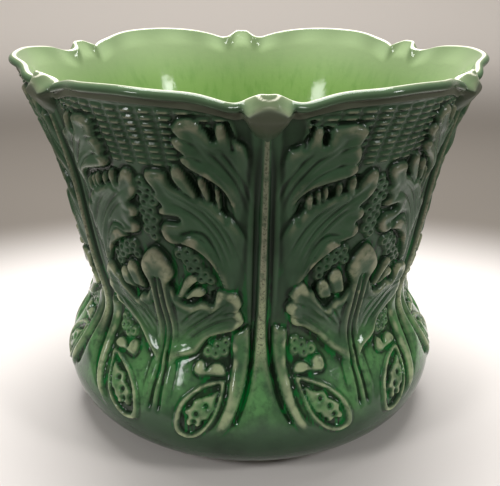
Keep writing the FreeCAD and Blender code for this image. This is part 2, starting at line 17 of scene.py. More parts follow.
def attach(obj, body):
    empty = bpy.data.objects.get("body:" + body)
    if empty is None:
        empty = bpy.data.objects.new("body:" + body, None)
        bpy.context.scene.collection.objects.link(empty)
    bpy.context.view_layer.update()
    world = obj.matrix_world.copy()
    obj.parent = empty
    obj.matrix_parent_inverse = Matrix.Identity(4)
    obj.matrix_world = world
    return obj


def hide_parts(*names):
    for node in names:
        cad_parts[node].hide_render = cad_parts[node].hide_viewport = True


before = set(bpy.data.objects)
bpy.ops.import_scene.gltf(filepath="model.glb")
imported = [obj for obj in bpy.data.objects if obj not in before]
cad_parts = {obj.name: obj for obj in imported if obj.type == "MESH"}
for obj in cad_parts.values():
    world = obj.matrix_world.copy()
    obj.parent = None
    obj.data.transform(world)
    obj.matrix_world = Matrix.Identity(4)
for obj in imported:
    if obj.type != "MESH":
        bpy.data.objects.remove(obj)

logging.basicConfig(level=logging.INFO, format="%(message)s")
LOG = logging.getLogger("jardiniere")

Point = tuple[float, float]
Line = tuple[Point, ...]
Grid = np.ndarray

MM = 0.001
REPEATS = 6
PITCH = 360.0 / REPEATS
MM_PER_DEGREE = 1.85


class Family(Enum):
    """Pieces that the wall's relief is parted into; the number is the label in the grid."""

    WALL = 0
    MAIN_STEM = 1
    UPPER_LEAF = 2
    LOWER_LEAF = 3
    WAIST_LEAF = 4
    SEED_POD = 5
    SEED_CLUSTER = 6
    WEAVE_PANEL = 7


# ------------------------------------------------------------------ curves and fields


def spline(knots: Grid, values: Grid, at: Grid) -> Grid:
    """Natural cubic spline.

    Args:
        knots: rising parameters.
        values: what the spline passes through at the knots.
        at: where it is wanted.

    Returns:
        The spline's value at each place in at.
    """
    count = len(knots)
    gap = np.diff(knots)
    system = np.zeros((count, count))
    right = np.zeros(count)
    system[0, 0] = 1.0
    system[-1, -1] = 1.0
    for k in range(1, count - 1):
        system[k, k - 1:k + 2] = gap[k - 1], 2 * (gap[k - 1] + gap[k]), gap[k]
        right[k] = 6 * ((values[k + 1] - values[k]) / gap[k] - (values[k] - values[k - 1]) / gap[k - 1])
    bend = np.linalg.solve(system, right)
    k = np.clip(np.searchsorted(knots, at) - 1, 0, count - 2)
    left = knots[k + 1] - at
    past = at - knots[k]
    straight = (values[k] / gap[k] - bend[k] * gap[k] / 6) * left
    straight += (values[k + 1] / gap[k] - bend[k + 1] * gap[k] / 6) * past
    return straight + (bend[k] * left ** 3 + bend[k + 1] * past ** 3) / (6 * gap[k])


def through(points: Line, closed: bool, steps: int = 6) -> Grid:
    """A smooth line through points.

    Args:
        points: (azimuth, level) points.
        closed: whether the line returns to its start.
        steps: how many short runs stand between two points.

    Returns:
        Points on the line, with azimuth turned into millimetres, one row each.
    """
    p = np.array(points, float) * (MM_PER_DEGREE, 1.0)
    if closed:
        p = np.vstack([p[-1:], p, p[:2]])
    else:
        p = np.vstack([2 * p[0] - p[1], p, 2 * p[-1] - p[-2]])
    t = np.linspace(0, 1, steps, endpoint=False)[None, :, None]
    a, b, c, d = (p[k:len(p) - 3 + k][:, None] for k in range(4))
    run = 0.5 * (2 * b + (c - a) * t + (2 * a - 5 * b + 4 * c - d) * t ** 2 + (3 * b - a - 3 * c + d) * t ** 3)
    run = run.reshape(-1, 2)
    return run if closed else np.vstack([run, p[-2]])


def ease(x: Grid) -> Grid:
    """Smooth step from 0 to 1 as x goes from 0 to 1."""
    x = np.clip(x, 0.0, 1.0)
    return x * x * (3 - 2 * x)


def to_segments(x: Grid, y: Grid, line: Grid, closed: bool) -> tuple[Grid, Grid]:
    """Distance from places to a run of short segments.

    Args:
        x: millimetres round the wall.
        y: levels.
        line: points of the run.
        closed: whether the last point joins the first.

    Returns:
        The distance to the run, and how far along the run the nearest point is, from 0 to 1.
    """
    start = line if closed else line[:-1]
    end = np.roll(line, -1, axis=0) if closed else line[1:]
    best = np.full(x.shape, 1e9)
    along = np.zeros(x.shape)
    for index, ((ax, ay), (bx, by)) in enumerate(zip(start, end)):
        dx, dy = bx - ax, by - ay
        share = np.clip(((x - ax) * dx + (y - ay) * dy) / (dx * dx + dy * dy + 1e-12), 0, 1)
        gap = np.hypot(x - ax - share * dx, y - ay - share * dy)
        nearer = gap < best
        best = np.where(nearer, gap, best)
        along = np.where(nearer, (index + share) / len(start), along)
    return best, along


def signed_distance(x: Grid, y: Grid, line: Grid) -> Grid:
    """Distance to a closed line: below zero inside it."""
    gap, _ = to_segments(x, y, line, True)
    inside = np.zeros(x.shape, bool)
    for (ax, ay), (bx, by) in zip(line, np.roll(line, -1, axis=0)):
        crosses = (ay > y) != (by > y)
        at = ax + (y - ay) * (bx - ax) / (by - ay if by != ay else 1e-12)
        inside ^= crosses & (x < at)
    return np.where(inside, -gap, gap)


def blurred(values: Grid, radius_rows: float, radius_columns: float) -> Grid:
    """Gaussian blur of a grid that goes on round its columns."""
    for axis, radius in ((0, radius_rows), (1, radius_columns)):
        reach = max(1, int(3 * radius))
        offsets = np.arange(-reach, reach + 1)
        weights = np.exp(-0.5 * (offsets / radius) ** 2)
        weights /= weights.sum()
        if axis == 0:
            padded = np.pad(values, ((reach, reach), (0, 0)), mode="edge")
            values = sum(w * padded[reach + o:reach + o + len(values)] for w, o in zip(weights, offsets))
        else:
            values = sum(w * np.roll(values, -o, axis=1) for w, o in zip(weights, offsets))
    return values


@dataclass
class Relief:
    """Heights over one 60-degree cell of the wall, built up motif by motif.

    Fields:
        azimuth: degrees from the main stem, one per grid point.
        level: millimetres above the floor, one per grid point.
        height: millimetres over the wall's ground.
        label: which family each grid point belongs to.
        speckle: where the glaze is worn to brown specks, from 0 to 1.
        worn: where tips show the body through the glaze, from 0 to 1.
    """

    azimuth: Grid
    level: Grid
    height: Grid = field(init=False)
    label: Grid = field(init=False)
    speckle: Grid = field(init=False)
    worn: Grid = field(init=False)

    def __post_init__(self) -> None:
        """Start with bare ground."""
        self.height = np.zeros(self.azimuth.shape)
        self.label = np.zeros(self.azimuth.shape, int)
        self.speckle = np.zeros(self.azimuth.shape)
        self.worn = np.zeros(self.azimuth.shape)

    def window(self, points: Grid, margin: float) -> tuple[Grid, Grid, Grid]:
        """Grid points near a motif.

        Args:
            points: the motif's points in millimetres.
            margin: how far outside the motif's box still counts.

        Returns:
            A mask, and the millimetres round and levels of the points in it, unwrapped about the motif.
        """
        centre = points[:, 0].mean() / MM_PER_DEGREE
        x = ((self.azimuth - centre + PITCH / 2) % PITCH - PITCH / 2 + centre) * MM_PER_DEGREE
        low = points.min(axis=0) - margin
        high = points.max(axis=0) + margin
        near = (x > low[0]) & (x < high[0]) & (self.level > low[1]) & (self.level < high[1])
        return near, x[near], self.level[near]

    def leaf(self, family: Family, outline: Line, height: float, edge: float = 1.5,
             moat: float = 0.9, fall: float = 0.0, merge: Line = ()) -> None:
        """Lay a rounded leaf over what is there, with a shadow line round it.

        Args:
            family: the piece that it belongs to.
            outline: its closed outline.
            height: how high its face stands.
            edge: how wide its rounded edge is.
            moat: how deep the line round it is cut.
            fall: how much lower its middle lies than its edge.
            merge: two points; from the first to the second the leaf fades into what is there.
        """
        line = through(outline, True)
        near, x, y = self.window(line, 4.0)
        gap = signed_distance(x, y, line)
        inside = -gap
        face = height * np.sqrt(np.clip(1 - (1 - np.clip(inside / edge, 0, 1)) ** 2, 0, 1))
        face -= fall * ease((inside - edge) / 6.0)
        below = self.height[near]
        weight = np.ones(x.shape)
        if merge:
            (ax, ay), (bx, by) = (np.array(p) * (MM_PER_DEGREE, 1) for p in merge)
            dx, dy = bx - ax, by - ay
            weight = 1 - ease(((x - ax) * dx + (y - ay) * dy) / (dx * dx + dy * dy))
        cut = below - moat * weight * np.exp(-(np.clip(gap, 0, None) / 0.9) ** 2)
        laid = np.where(inside > 0, face, cut)
        self.height[near] = weight * laid + (1 - weight) * below
        self.worn[near] *= 1 - weight * (inside > 0)
        label = self.label[near]
        label[inside > 0] = family.value
        self.label[near] = label

    def groove(self, path: Line, width: float, depth: float, lip: float = 0.0, taper: float = 0.35) -> None:
        """Cut a groove along a path.

        Args:
            path: its middle line, from root to tip.
            width: its width.
            depth: its depth, or below zero the height of a ridge.
            lip: height of the raised lip on both its sides.
            taper: share of its length over which it fades at each end.
        """
        line = through(path, False)
        near, x, y = self.window(line, 3 * width)
        gap, along = to_segments(x, y, line, False)
        fade = ease(along / taper) * ease((1 - along) / taper) if taper else 1.0
        cut = depth * np.exp(-(gap / (0.55 * width)) ** 2)
        raised = lip * np.exp(-((gap - 1.15 * width) / (0.45 * width)) ** 2)
        self.height[near] += (raised - cut) * fade

    def rib(self, path: Line, widths: Line, height: float, fade: Point) -> None:
        """Raise a rounded rib.

        Args:
            path: its middle line.
            widths: (level, width) pairs, from the top down.
            height: how high it stands.
            fade: the levels between which it rises out of the ground.
        """
        line = through(path, False)
        near, x, y = self.window(line, 12.0)
        gap, _ = to_segments(x, y, line, False)
        levels, spans = zip(*sorted(widths))
        half = np.interp(y, levels, spans) / 2
        shape = np.sqrt(np.clip(1 - (gap / half) ** 2, 0, 1)) * ease((y - fade[0]) / (fade[1] - fade[0]))
        self.height[near] = np.maximum(self.height[near], self.height[near] * (1 - shape) + height * shape)
        self.speckle[near] = np.maximum(self.speckle[near], shape * ease((y - 56.0) / 20.0))
        self.worn[near] = np.maximum(self.worn[near], 0.5 * shape * ease((y - 56.0) / 20.0))

    def seed(self, family: Family, centre: Point, size: float, height: float, hole: float) -> None:
        """Set one round seed with a drilled middle on what is there.

        Args:
            family: the piece that it belongs to.
            centre: its middle.
            size: its outer radius.
            height: how high it stands.
            hole: radius of the hole in its middle, or 0.
        """
        spot = np.array([centre], float) * (MM_PER_DEGREE, 1)
        near, x, y = self.window(spot, size + 1.5)
        gap = np.hypot(x - spot[0, 0], y - spot[0, 1])
        dome = height * np.sqrt(np.clip(1 - (np.clip(gap / size, 0, 1)) ** 4, 0, 1))
        raised = np.maximum(self.height[near], dome)
        if hole:
            raised -= (height + 0.3) * np.exp(-(gap / hole) ** 4)
        self.height[near] = raised
        label = self.label[near]
        label[(gap < size) & (label == Family.WALL.value)] = family.value
        self.label[near] = label

    def wear(self, spots: tuple[tuple[float, float, float], ...]) -> None:
        """Let the body show through the glaze at tips.

        Args:
            spots: azimuth, level and radius of each.
        """
        for azimuth, level, radius in spots:
            spot = np.array([(azimuth, level)], float) * (MM_PER_DEGREE, 1)
            near, x, y = self.window(spot, 2 * radius)
            gap = np.hypot(x - spot[0, 0], y - spot[0, 1])
            self.worn[near] = np.maximum(self.worn[near], 1 - ease(gap / radius / 1.5))

    def hole(self, centre: Point, radius: float, depth: float) -> None:
        """Drill a small round hole into what is there.

        Args:
            centre: its middle.
            radius: its radius.
            depth: its depth.
        """
        spot = np.array([centre], float) * (MM_PER_DEGREE, 1)
        near, x, y = self.window(spot, 3 * radius)
        gap = np.hypot(x - spot[0, 0], y - spot[0, 1])
        self.height[near] -= depth * np.exp(-(gap / radius) ** 4)


# ------------------------------------------------------------------ ornament


@dataclass
class Basketweave:
    """Raised strokes in rows between the upper leaves, under the rim."""

    low_level: float = 169.4
    row_level: float = 171.0
    row_pitch: float = 3.15
    columns: int = 16
    stroke_share: float = 0.80
    stroke_width: float = 1.75
    height: float = 1.5

    def draw(self, relief: Relief, band_level: Grid) -> None:
        """Fill the strip under the rim with strokes.

        Args:
            relief: the heights to draw on.
            band_level: level of the rim's lower edge over each column.
        """
        column = relief.azimuth / (PITCH / self.columns)
        across = 2 * np.abs(column - np.floor(column) - 0.5) / self.stroke_share
        row = (relief.level - self.row_level) / self.row_pitch
        up = 2 * np.abs(row - np.round(row)) * self.row_pitch / self.stroke_width
        stroke = np.sqrt(np.clip(1 - across ** 6, 0, 1)) * np.sqrt(np.clip(1 - up ** 2, 0, 1))
        fade = ease((relief.level - self.low_level) / 0.6) * ease((band_level - relief.level) / 1.2)
        fade = fade * ease((np.abs(relief.azimuth) - 8.4) / 0.6)
        relief.height += self.height * stroke * fade
        clear = (relief.level > self.low_level) & (relief.level < band_level) & (np.abs(relief.azimuth) > 8.6)
        relief.label[clear] = Family.WEAVE_PANEL.value
        relief.worn = np.maximum(relief.worn, stroke * fade)


@dataclass
class SeedHeads:
    """Drilled seeds that fill the gaps between the leaves."""

    size: float = 3.1
    height: float = 1.9
    hole: float = 0.85
    between: Line = (
        (29.6, 160.4), (31.4, 156.8), (28.9, 155.2), (32.2, 151.3), (29.4, 150.2), (30.9, 146.2),
        (28.5, 145.0), (31.5, 141.5), (29.0, 140.2), (31.0, 137.0), (28.8, 135.2), (30.6, 132.2),
    )
    high_left: Line = (
        (-22.6, 124.2), (-20.2, 126.0), (-20.6, 121.0), (-18.0, 122.0), (-17.4, 117.6), (-19.6, 117.0),
        (-15.6, 114.6), (-16.9, 111.6), (-14.2, 111.6),
    )
    high_right: Line = (
        (22.8, 124.6), (20.4, 124.4), (20.2, 120.4), (17.8, 121.6), (18.0, 117.4), (15.6, 117.2),
        (16.0, 113.0), (23.6, 119.6),
    )
    low_left: Line = ((-16.2, 69.4), (-13.8, 68.6), (-11.2, 70.2), (-13.2, 72.2), (-10.6, 74.4))
    low_right: Line = ((10.8, 74.6), (13.0, 72.0), (16.0, 69.4), (10.8, 70.4), (13.6, 68.4))

    def draw(self, relief: Relief) -> None:
        """Set every seed.

        Args:
            relief: the heights to draw on.
        """
        for group in (self.between, self.high_left, self.high_right, self.low_left, self.low_right):
            for centre in group:
                relief.seed(Family.SEED_CLUSTER, centre, self.size, self.height, self.hole)


@dataclass
class StemTree:
    """Main stem with its rib, its root and the upper leaves on both sides."""

    leaf_height: float = 3.7
    core: Line = (
        (0.0, 192.0), (-3.0, 190.0), (-3.2, 184.0), (-3.6, 170.0), (-3.7, 150.0), (-4.3, 135.0),
        (-4.2, 110.0), (-3.9, 90.0), (-3.4, 80.0), (-3.2, 66.0), (-4.2, 55.0), (-6.4, 45.0),
        (-8.2, 38.5), (0.0, 35.5), (9.0, 38.5), (6.8, 45.0), (4.6, 55.0), (3.6, 66.0), (3.8, 80.0),
        (4.0, 90.0), (4.4, 110.0), (4.5, 135.0), (3.9, 150.0), (3.8, 170.0), (3.4, 184.0), (3.0, 190.0),
    )
    fin_left: Line = (
        (-3.4, 84.5), (-5.6, 82.6), (-8.2, 79.4), (-8.9, 73.0), (-8.5, 66.0), (-9.2, 54.5), (-9.6, 48.0),
        (-10.8, 42.0), (-12.8, 35.2), (-15.6, 30.2), (-16.8, 26.6), (-14.0, 27.6), (-11.0, 31.0),
        (-8.4, 37.0), (-6.8, 43.0), (-5.2, 50.0), (-4.0, 58.0), (-3.2, 66.0), (-3.0, 75.0),
    )
    fin_right: Line = (
        (3.9, 84.5), (5.6, 83.6), (8.0, 82.4), (8.4, 77.5), (8.0, 70.0), (7.9, 62.0), (8.5, 55.0),
        (9.2, 48.0), (10.7, 41.2), (13.2, 35.2), (15.8, 29.8), (17.0, 26.4), (14.2, 27.4), (11.2, 31.0),
        (8.8, 37.0), (7.2, 43.0), (5.6, 50.0), (4.4, 58.0), (3.7, 66.0), (3.5, 75.0),
    )
    rib_path: Line = ((0.1, 190.0), (0.15, 138.0), (0.1, 80.0), (-0.1, 60.0), (0.3, 34.0))
    rib_widths: Line = (
        (192.0, 1.6), (180.0, 2.4), (138.0, 3.2), (100.0, 4.2), (80.0, 5.6), (65.0, 8.0), (54.0, 11.5),
        (47.0, 15.0), (40.0, 19.5), (30.0, 24.0),
    )
    left_leaf: Line = (
        (-4.4, 181.0), (-6.4, 184.0), (-7.9, 188.4), (-8.9, 191.2), (-10.2, 191.3), (-10.8, 188.0),
        (-10.9, 184.6), (-11.9, 187.2), (-12.8, 189.8), (-14.2, 193.0), (-16.0, 194.1), (-17.8, 193.3),
        (-19.2, 190.6), (-19.3, 188.4), (-18.6, 186.1), (-19.8, 184.4), (-19.7, 181.2), (-18.0, 177.2),
        (-18.9, 175.0), (-18.2, 172.4), (-16.5, 169.5), (-14.5, 167.1), (-12.5, 164.5), (-10.5, 161.4),
        (-9.0, 157.0), (-8.0, 152.4), (-7.5, 148.0), (-6.8, 142.0), (-5.4, 136.5), (-4.0, 133.0),
        (-3.2, 140.0), (-3.0, 155.0), (-3.2, 170.0),
    )
    right_leaf: Line = (
        (4.6, 178.0), (6.8, 180.6), (8.6, 184.0), (9.8, 188.2), (10.7, 189.4), (11.6, 188.4),
        (11.8, 184.4), (12.4, 182.0), (13.1, 184.6), (13.5, 188.4), (14.4, 189.9), (16.0, 190.6),
        (18.0, 190.8), (20.0, 189.8), (21.3, 188.0), (21.0, 184.6), (20.5, 181.0), (21.3, 177.4),
        (21.4, 174.0), (20.9, 171.6), (21.7, 169.0), (21.0, 166.6), (19.5, 165.0), (17.0, 163.6),
        (14.0, 162.0), (11.0, 160.0), (9.3, 157.6), (8.0, 154.0), (7.2, 150.0), (6.9, 146.0),
        (6.2, 140.5), (5.2, 136.0), (4.0, 133.0), (3.2, 140.0), (3.1, 155.0), (3.4, 168.0),
    )
    veins: tuple[Line, ...] = (
        ((-14.5, 186.5), (-12.5, 180.0), (-9.5, 172.5), (-7.0, 165.0), (-5.0, 155.0), (-3.9, 145.0)),
        ((-11.2, 183.0), (-9.0, 177.5), (-6.2, 168.5), (-4.2, 158.0), (-3.0, 150.0)),
        ((-15.5, 174.5), (-12.0, 169.0), (-9.0, 162.0), (-7.0, 153.0), (-5.8, 144.0)),
        ((16.6, 184.0), (14.5, 179.0), (11.5, 174.0), (9.0, 168.0), (7.0, 162.0), (5.6, 155.0), (4.4, 146.0)),
        ((11.6, 180.5), (9.0, 176.0), (6.5, 168.5), (4.5, 160.0), (3.2, 152.0)),
        ((17.5, 171.0), (13.5, 168.0), (10.0, 163.0), (7.6, 156.0), (6.2, 147.0)),
    )
    notches: tuple[Line, ...] = (
        ((-19.2, 186.2), (-17.0, 184.6), (-14.6, 181.0)),
        ((-18.6, 177.3), (-15.8, 176.0), (-13.0, 172.5)),
        ((21.2, 181.0), (18.4, 180.4), (15.4, 177.4)),
        ((21.4, 171.6), (18.2, 171.8), (15.0, 169.8)),
    )
    slots: tuple[Line, ...] = (
        ((-8.5, 192.4), (-7.9, 187.0), (-6.9, 178.5)),
        ((9.0, 193.4), (9.6, 190.4), (9.0, 184.6), (7.6, 179.0)),
        ((-13.6, 191.0), (-12.0, 187.4), (-10.8, 184.0)),
        ((12.5, 190.6), (12.5, 186.0), (12.4, 181.6)),
    )
    ridges: tuple[Line, ...] = (
        ((-8.0, 194.0), (-6.8, 187.0), (-5.2, 179.5)),
        ((7.8, 194.6), (8.7, 189.6), (8.2, 184.4), (6.8, 179.5)),
    )
    side_grooves: tuple[Line, ...] = (
        ((-1.6, 186.0), (-1.8, 150.0), (-2.0, 120.0), (-2.2, 90.0), (-2.6, 70.0), (-3.3, 60.0),
         (-4.5, 52.0), (-5.6, 46.0), (-6.8, 40.0), (-7.8, 36.0)),
        ((1.8, 186.0), (2.0, 150.0), (2.2, 120.0), (2.5, 90.0), (3.0, 68.0), (3.8, 58.0),
         (4.7, 51.0), (5.9, 45.0), (7.4, 40.0), (8.4, 36.0)),
    )

    tips: tuple[tuple[float, float, float], ...] = (
        (-16.2, 191.5, 4.0), (-9.9, 189.0, 2.6), (-19.0, 183.0, 3.0), (-18.0, 174.0, 2.6), (18.6, 188.6, 4.0),
        (10.7, 187.4, 2.4), (20.8, 179.0, 2.8), (20.8, 169.0, 2.8), (-13.6, 167.4, 2.4), (-8.0, 153.0, 2.0),
        (7.8, 153.0, 2.0),
    )
    root_tips: tuple[tuple[float, float, float], ...] = (
        (-8.4, 72.0, 2.6), (-8.4, 64.0, 3.0), (-9.2, 55.0, 4.0), (-9.8, 49.0, 4.2), (-10.6, 43.0, 4.4),
        (-12.0, 37.6, 4.4), (-13.8, 32.4, 4.2), (8.0, 74.0, 2.6), (7.9, 65.0, 3.0), (8.6, 56.0, 4.0),
        (9.4, 50.0, 4.2), (10.5, 44.0, 4.4), (12.0, 38.4, 4.4), (14.0, 32.6, 4.2),
    )

    def draw_core(self, relief: Relief) -> None:
        """Lay the low core that the leaves grow from.

        Args:
            relief: the heights to draw on.
        """
        relief.leaf(Family.MAIN_STEM, self.core, 1.5, edge=7.5, moat=0.0, merge=((0.0, 58.0), (0.0, 38.0)))

    def draw_leaves(self, relief: Relief) -> None:
        """Lay the upper leaves over the lower ones.

        Args:
            relief: the heights to draw on.
        """
        relief.leaf(Family.UPPER_LEAF, self.left_leaf, self.leaf_height, edge=2.2, moat=0.5, fall=1.4,
                    merge=((-7.6, 168.0), (-2.6, 166.0)))
        relief.leaf(Family.UPPER_LEAF, self.right_leaf, self.leaf_height, edge=2.2, moat=0.5, fall=1.4,
                    merge=((7.8, 168.0), (2.8, 166.0)))
        for path in self.veins:
            relief.groove(path, 1.3, 0.75, lip=0.45)
        for path in self.notches:
            relief.groove(path, 1.3, 0.8, lip=0.2)
        for path in self.slots:
            relief.groove(path, 1.5, 2.2, taper=0.12)
        for path in self.ridges:
            relief.groove(path, 1.0, -1.3, taper=0.25)
        relief.wear(self.tips)

    def draw_root(self, relief: Relief) -> None:
        """Lay the root's fins and the rib with a groove on each of its sides.

        Args:
            relief: the heights to draw on.
        """
        relief.leaf(Family.MAIN_STEM, self.fin_left, 2.7, edge=3.6, moat=0.5, merge=((-9.0, 44.0), (-15.0, 28.0)))
        relief.leaf(Family.MAIN_STEM, self.fin_right, 2.7, edge=3.6, moat=0.5, merge=((9.0, 44.0), (15.0, 28.0)))
        for path in self.side_grooves:
            relief.groove(path, 2.6, 1.9, taper=0.12)
        relief.rib(self.rib_path, self.rib_widths, 3.4, (34.0, 60.0))
        relief.wear(self.root_tips)


@dataclass
class LowerLeaves:
    """Leaves under the upper ones, with fingers above and a curled finger below."""

    height: float = 3.0
    left: Line = (
        (-7.4, 144.0), (-9.5, 147.6), (-11.0, 151.0), (-12.5, 154.4), (-15.0, 156.0), (-17.0, 157.4),
        (-19.5, 159.4), (-21.3, 160.4), (-22.3, 163.0), (-22.8, 166.8), (-24.2, 168.0), (-26.2, 168.0),
        (-28.0, 167.2), (-28.6, 165.0), (-28.2, 162.0), (-26.8, 157.2), (-27.6, 154.8), (-25.7, 150.1),
        (-27.0, 146.4), (-25.8, 144.8), (-21.9, 144.6), (-21.2, 143.0), (-22.0, 141.5), (-25.4, 140.9),
        (-26.8, 138.6), (-27.1, 136.0), (-26.2, 131.6), (-24.2, 129.4), (-22.2, 129.6), (-19.0, 129.6),
        (-15.5, 126.6), (-13.2, 120.0), (-11.3, 111.0), (-9.6, 104.0), (-7.0, 101.0), (-4.2, 106.0),
        (-3.9, 120.0), (-4.2, 134.0),
    )
    right: Line = (
        (7.3, 144.0), (9.2, 147.6), (10.6, 151.0), (12.6, 153.0), (15.4, 154.4), (18.2, 156.4),
        (20.4, 157.6), (22.4, 160.8), (23.6, 162.4), (24.9, 165.6), (26.5, 166.8), (28.0, 165.2),
        (28.4, 161.0), (28.7, 158.4), (28.0, 155.0), (26.8, 151.8), (25.0, 148.6), (26.4, 146.6),
        (26.9, 144.0), (26.0, 141.2), (24.8, 139.8), (26.1, 137.0), (26.1, 134.0), (24.4, 131.4),
        (21.8, 130.2), (19.0, 128.4), (15.8, 124.0), (13.4, 118.6), (11.5, 111.0), (9.8, 104.6),
        (7.2, 101.0), (4.4, 106.0), (4.1, 120.0), (4.4, 134.0),
    )
    fingers: tuple[Line, ...] = (
        ((-21.7, 166.2), (-21.3, 169.8), (-20.2, 171.2), (-18.8, 169.6), (-17.6, 164.4), (-16.1, 158.4),
         (-16.4, 154.6), (-18.4, 157.0), (-20.6, 161.4)),
        ((-15.7, 163.2), (-15.1, 165.9), (-14.1, 165.8), (-13.4, 162.0), (-12.8, 157.4), (-13.4, 153.4),
         (-14.9, 157.6)),
        ((-12.0, 158.8), (-11.4, 160.9), (-10.6, 159.0), (-10.2, 152.6), (-10.8, 149.0), (-11.6, 153.6)),
        ((9.9, 154.6), (10.7, 156.9), (11.7, 156.0), (11.9, 151.6), (10.9, 148.6), (10.0, 150.8)),
        ((12.2, 156.6), (12.9, 158.4), (13.7, 157.2), (13.9, 153.0), (12.9, 151.4)),
        ((14.1, 158.6), (14.8, 160.1), (15.4, 158.4), (15.3, 154.6), (14.3, 152.6)),
        ((17.3, 159.8), (18.0, 161.5), (18.8, 159.8), (18.6, 156.2), (17.5, 154.8)),
        ((20.2, 162.4), (21.2, 164.5), (22.2, 163.0), (22.4, 157.6), (21.4, 154.0), (20.2, 157.8)),
    )
    curls: tuple[Line, ...] = (
        ((-21.7, 130.8), (-21.3, 132.5), (-20.3, 134.1), (-18.5, 135.1), (-16.5, 134.1), (-14.5, 130.6),
         (-12.9, 124.4), (-11.6, 117.0), (-10.5, 109.6), (-9.8, 104.6), (-10.6, 106.6), (-11.6, 112.6),
         (-12.7, 117.6), (-14.2, 122.2), (-16.2, 126.0), (-18.2, 128.6), (-20.2, 129.9)),
        ((21.7, 128.8), (21.2, 129.9), (20.3, 130.8), (19.0, 132.0), (17.4, 131.7), (15.9, 130.0),
         (14.2, 125.2), (12.8, 119.4), (11.4, 112.6), (10.4, 106.4), (11.1, 108.4), (12.0, 112.6),
         (13.0, 116.2), (14.2, 119.5), (15.7, 122.3), (17.7, 125.1), (19.7, 127.5)),
    )
    veins: tuple[Line, ...] = (
        ((-25.0, 162.0), (-22.0, 157.8), (-18.0, 153.0), (-14.0, 146.8), (-10.6, 137.0), (-8.4, 127.0), (-6.8, 114.0)),
        ((-24.6, 153.0), (-20.0, 150.0), (-15.6, 144.0), (-12.0, 135.0), (-9.6, 124.0), (-7.8, 112.0)),
        ((-19.4, 156.2), (-15.4, 152.0), (-11.4, 145.0), (-8.4, 136.0), (-6.6, 126.0), (-5.4, 116.0)),
        ((25.6, 160.0), (23.4, 155.4), (20.0, 150.2), (16.6, 144.6), (13.2, 137.4), (10.4, 128.0), (8.2, 116.0)),
        ((24.6, 150.0), (20.6, 146.6), (17.0, 140.6), (13.8, 133.0), (11.2, 124.0), (9.0, 113.0)),
        ((20.6, 155.4), (16.6, 151.0), (12.6, 144.4), (9.4, 136.0), (7.2, 127.0), (5.8, 117.0)),
    )
    curl_grooves: tuple[Line, ...] = (
        ((-22.5, 131.0), (-21.2, 135.2), (-18.2, 137.4), (-15.2, 136.4), (-13.2, 131.4), (-11.4, 124.0), (-10.0, 115.0)),
        ((22.3, 132.8), (20.0, 134.2), (17.2, 134.6), (14.9, 132.4), (13.0, 127.0), (11.4, 120.0), (10.2, 113.0)),
    )
    pockets: tuple[Line, ...] = (
        ((-10.3, 158.0), (-9.9, 151.0), (-9.1, 145.0), (-8.8, 142.0)),
        ((9.6, 153.6), (8.9, 148.0), (8.5, 144.0), (8.4, 141.0)),
        ((-17.6, 168.4), (-16.4, 162.0), (-15.0, 157.0)),
        ((-12.9, 163.4), (-12.4, 159.4), (-11.9, 155.6)),
        ((15.8, 160.0), (16.3, 156.6), (16.0, 152.6)),
        ((22.6, 165.0), (22.8, 161.0), (22.4, 157.0)),
    )

    tips: tuple[tuple[float, float, float], ...] = (
        (-26.0, 165.0, 4.0), (-19.6, 168.0, 2.8), (-14.4, 163.0, 2.4), (-10.9, 158.0, 2.2), (-26.4, 148.0, 3.0),
        (-25.6, 134.0, 3.6), (26.6, 163.6, 3.8), (21.4, 162.0, 2.4), (14.8, 158.4, 2.0), (11.0, 155.4, 2.2),
        (27.2, 156.0, 2.8), (25.8, 144.4, 2.8), (25.4, 135.0, 2.8), (-18.6, 132.6, 3.2), (18.2, 130.0, 3.2),
        (-13.6, 121.0, 2.2), (13.8, 119.4, 2.2), (18.0, 160.0, 2.0), (13.0, 157.0, 2.0),
    )

    def draw(self, relief: Relief) -> None:
        """Lay the leaves, their fingers and their curls.

        Args:
            relief: the heights to draw on.
        """
        relief.leaf(Family.LOWER_LEAF, self.left, self.height, edge=2.2, moat=0.7, fall=1.1,
                    merge=((-9.0, 126.0), (-4.2, 124.0)))
        relief.leaf(Family.LOWER_LEAF, self.right, self.height, edge=2.2, moat=0.7, fall=1.1,
                    merge=((9.2, 126.0), (4.4, 124.0)))
        for path in self.veins:
            relief.groove(path, 1.2, 0.65, lip=0.4)
        for path in self.curl_grooves:
            relief.groove(path, 1.7, 1.2, taper=0.2)
        for outline in self.curls:
            relief.leaf(Family.LOWER_LEAF, outline, self.height + 0.4, edge=1.2, moat=0.7)
        for outline in self.fingers:
            relief.leaf(Family.LOWER_LEAF, outline, self.height - 0.1, edge=1.2, moat=0.8)
        for path in self.pockets:
            relief.groove(path, 1.9, 1.7, taper=0.2)
        relief.wear(self.tips)


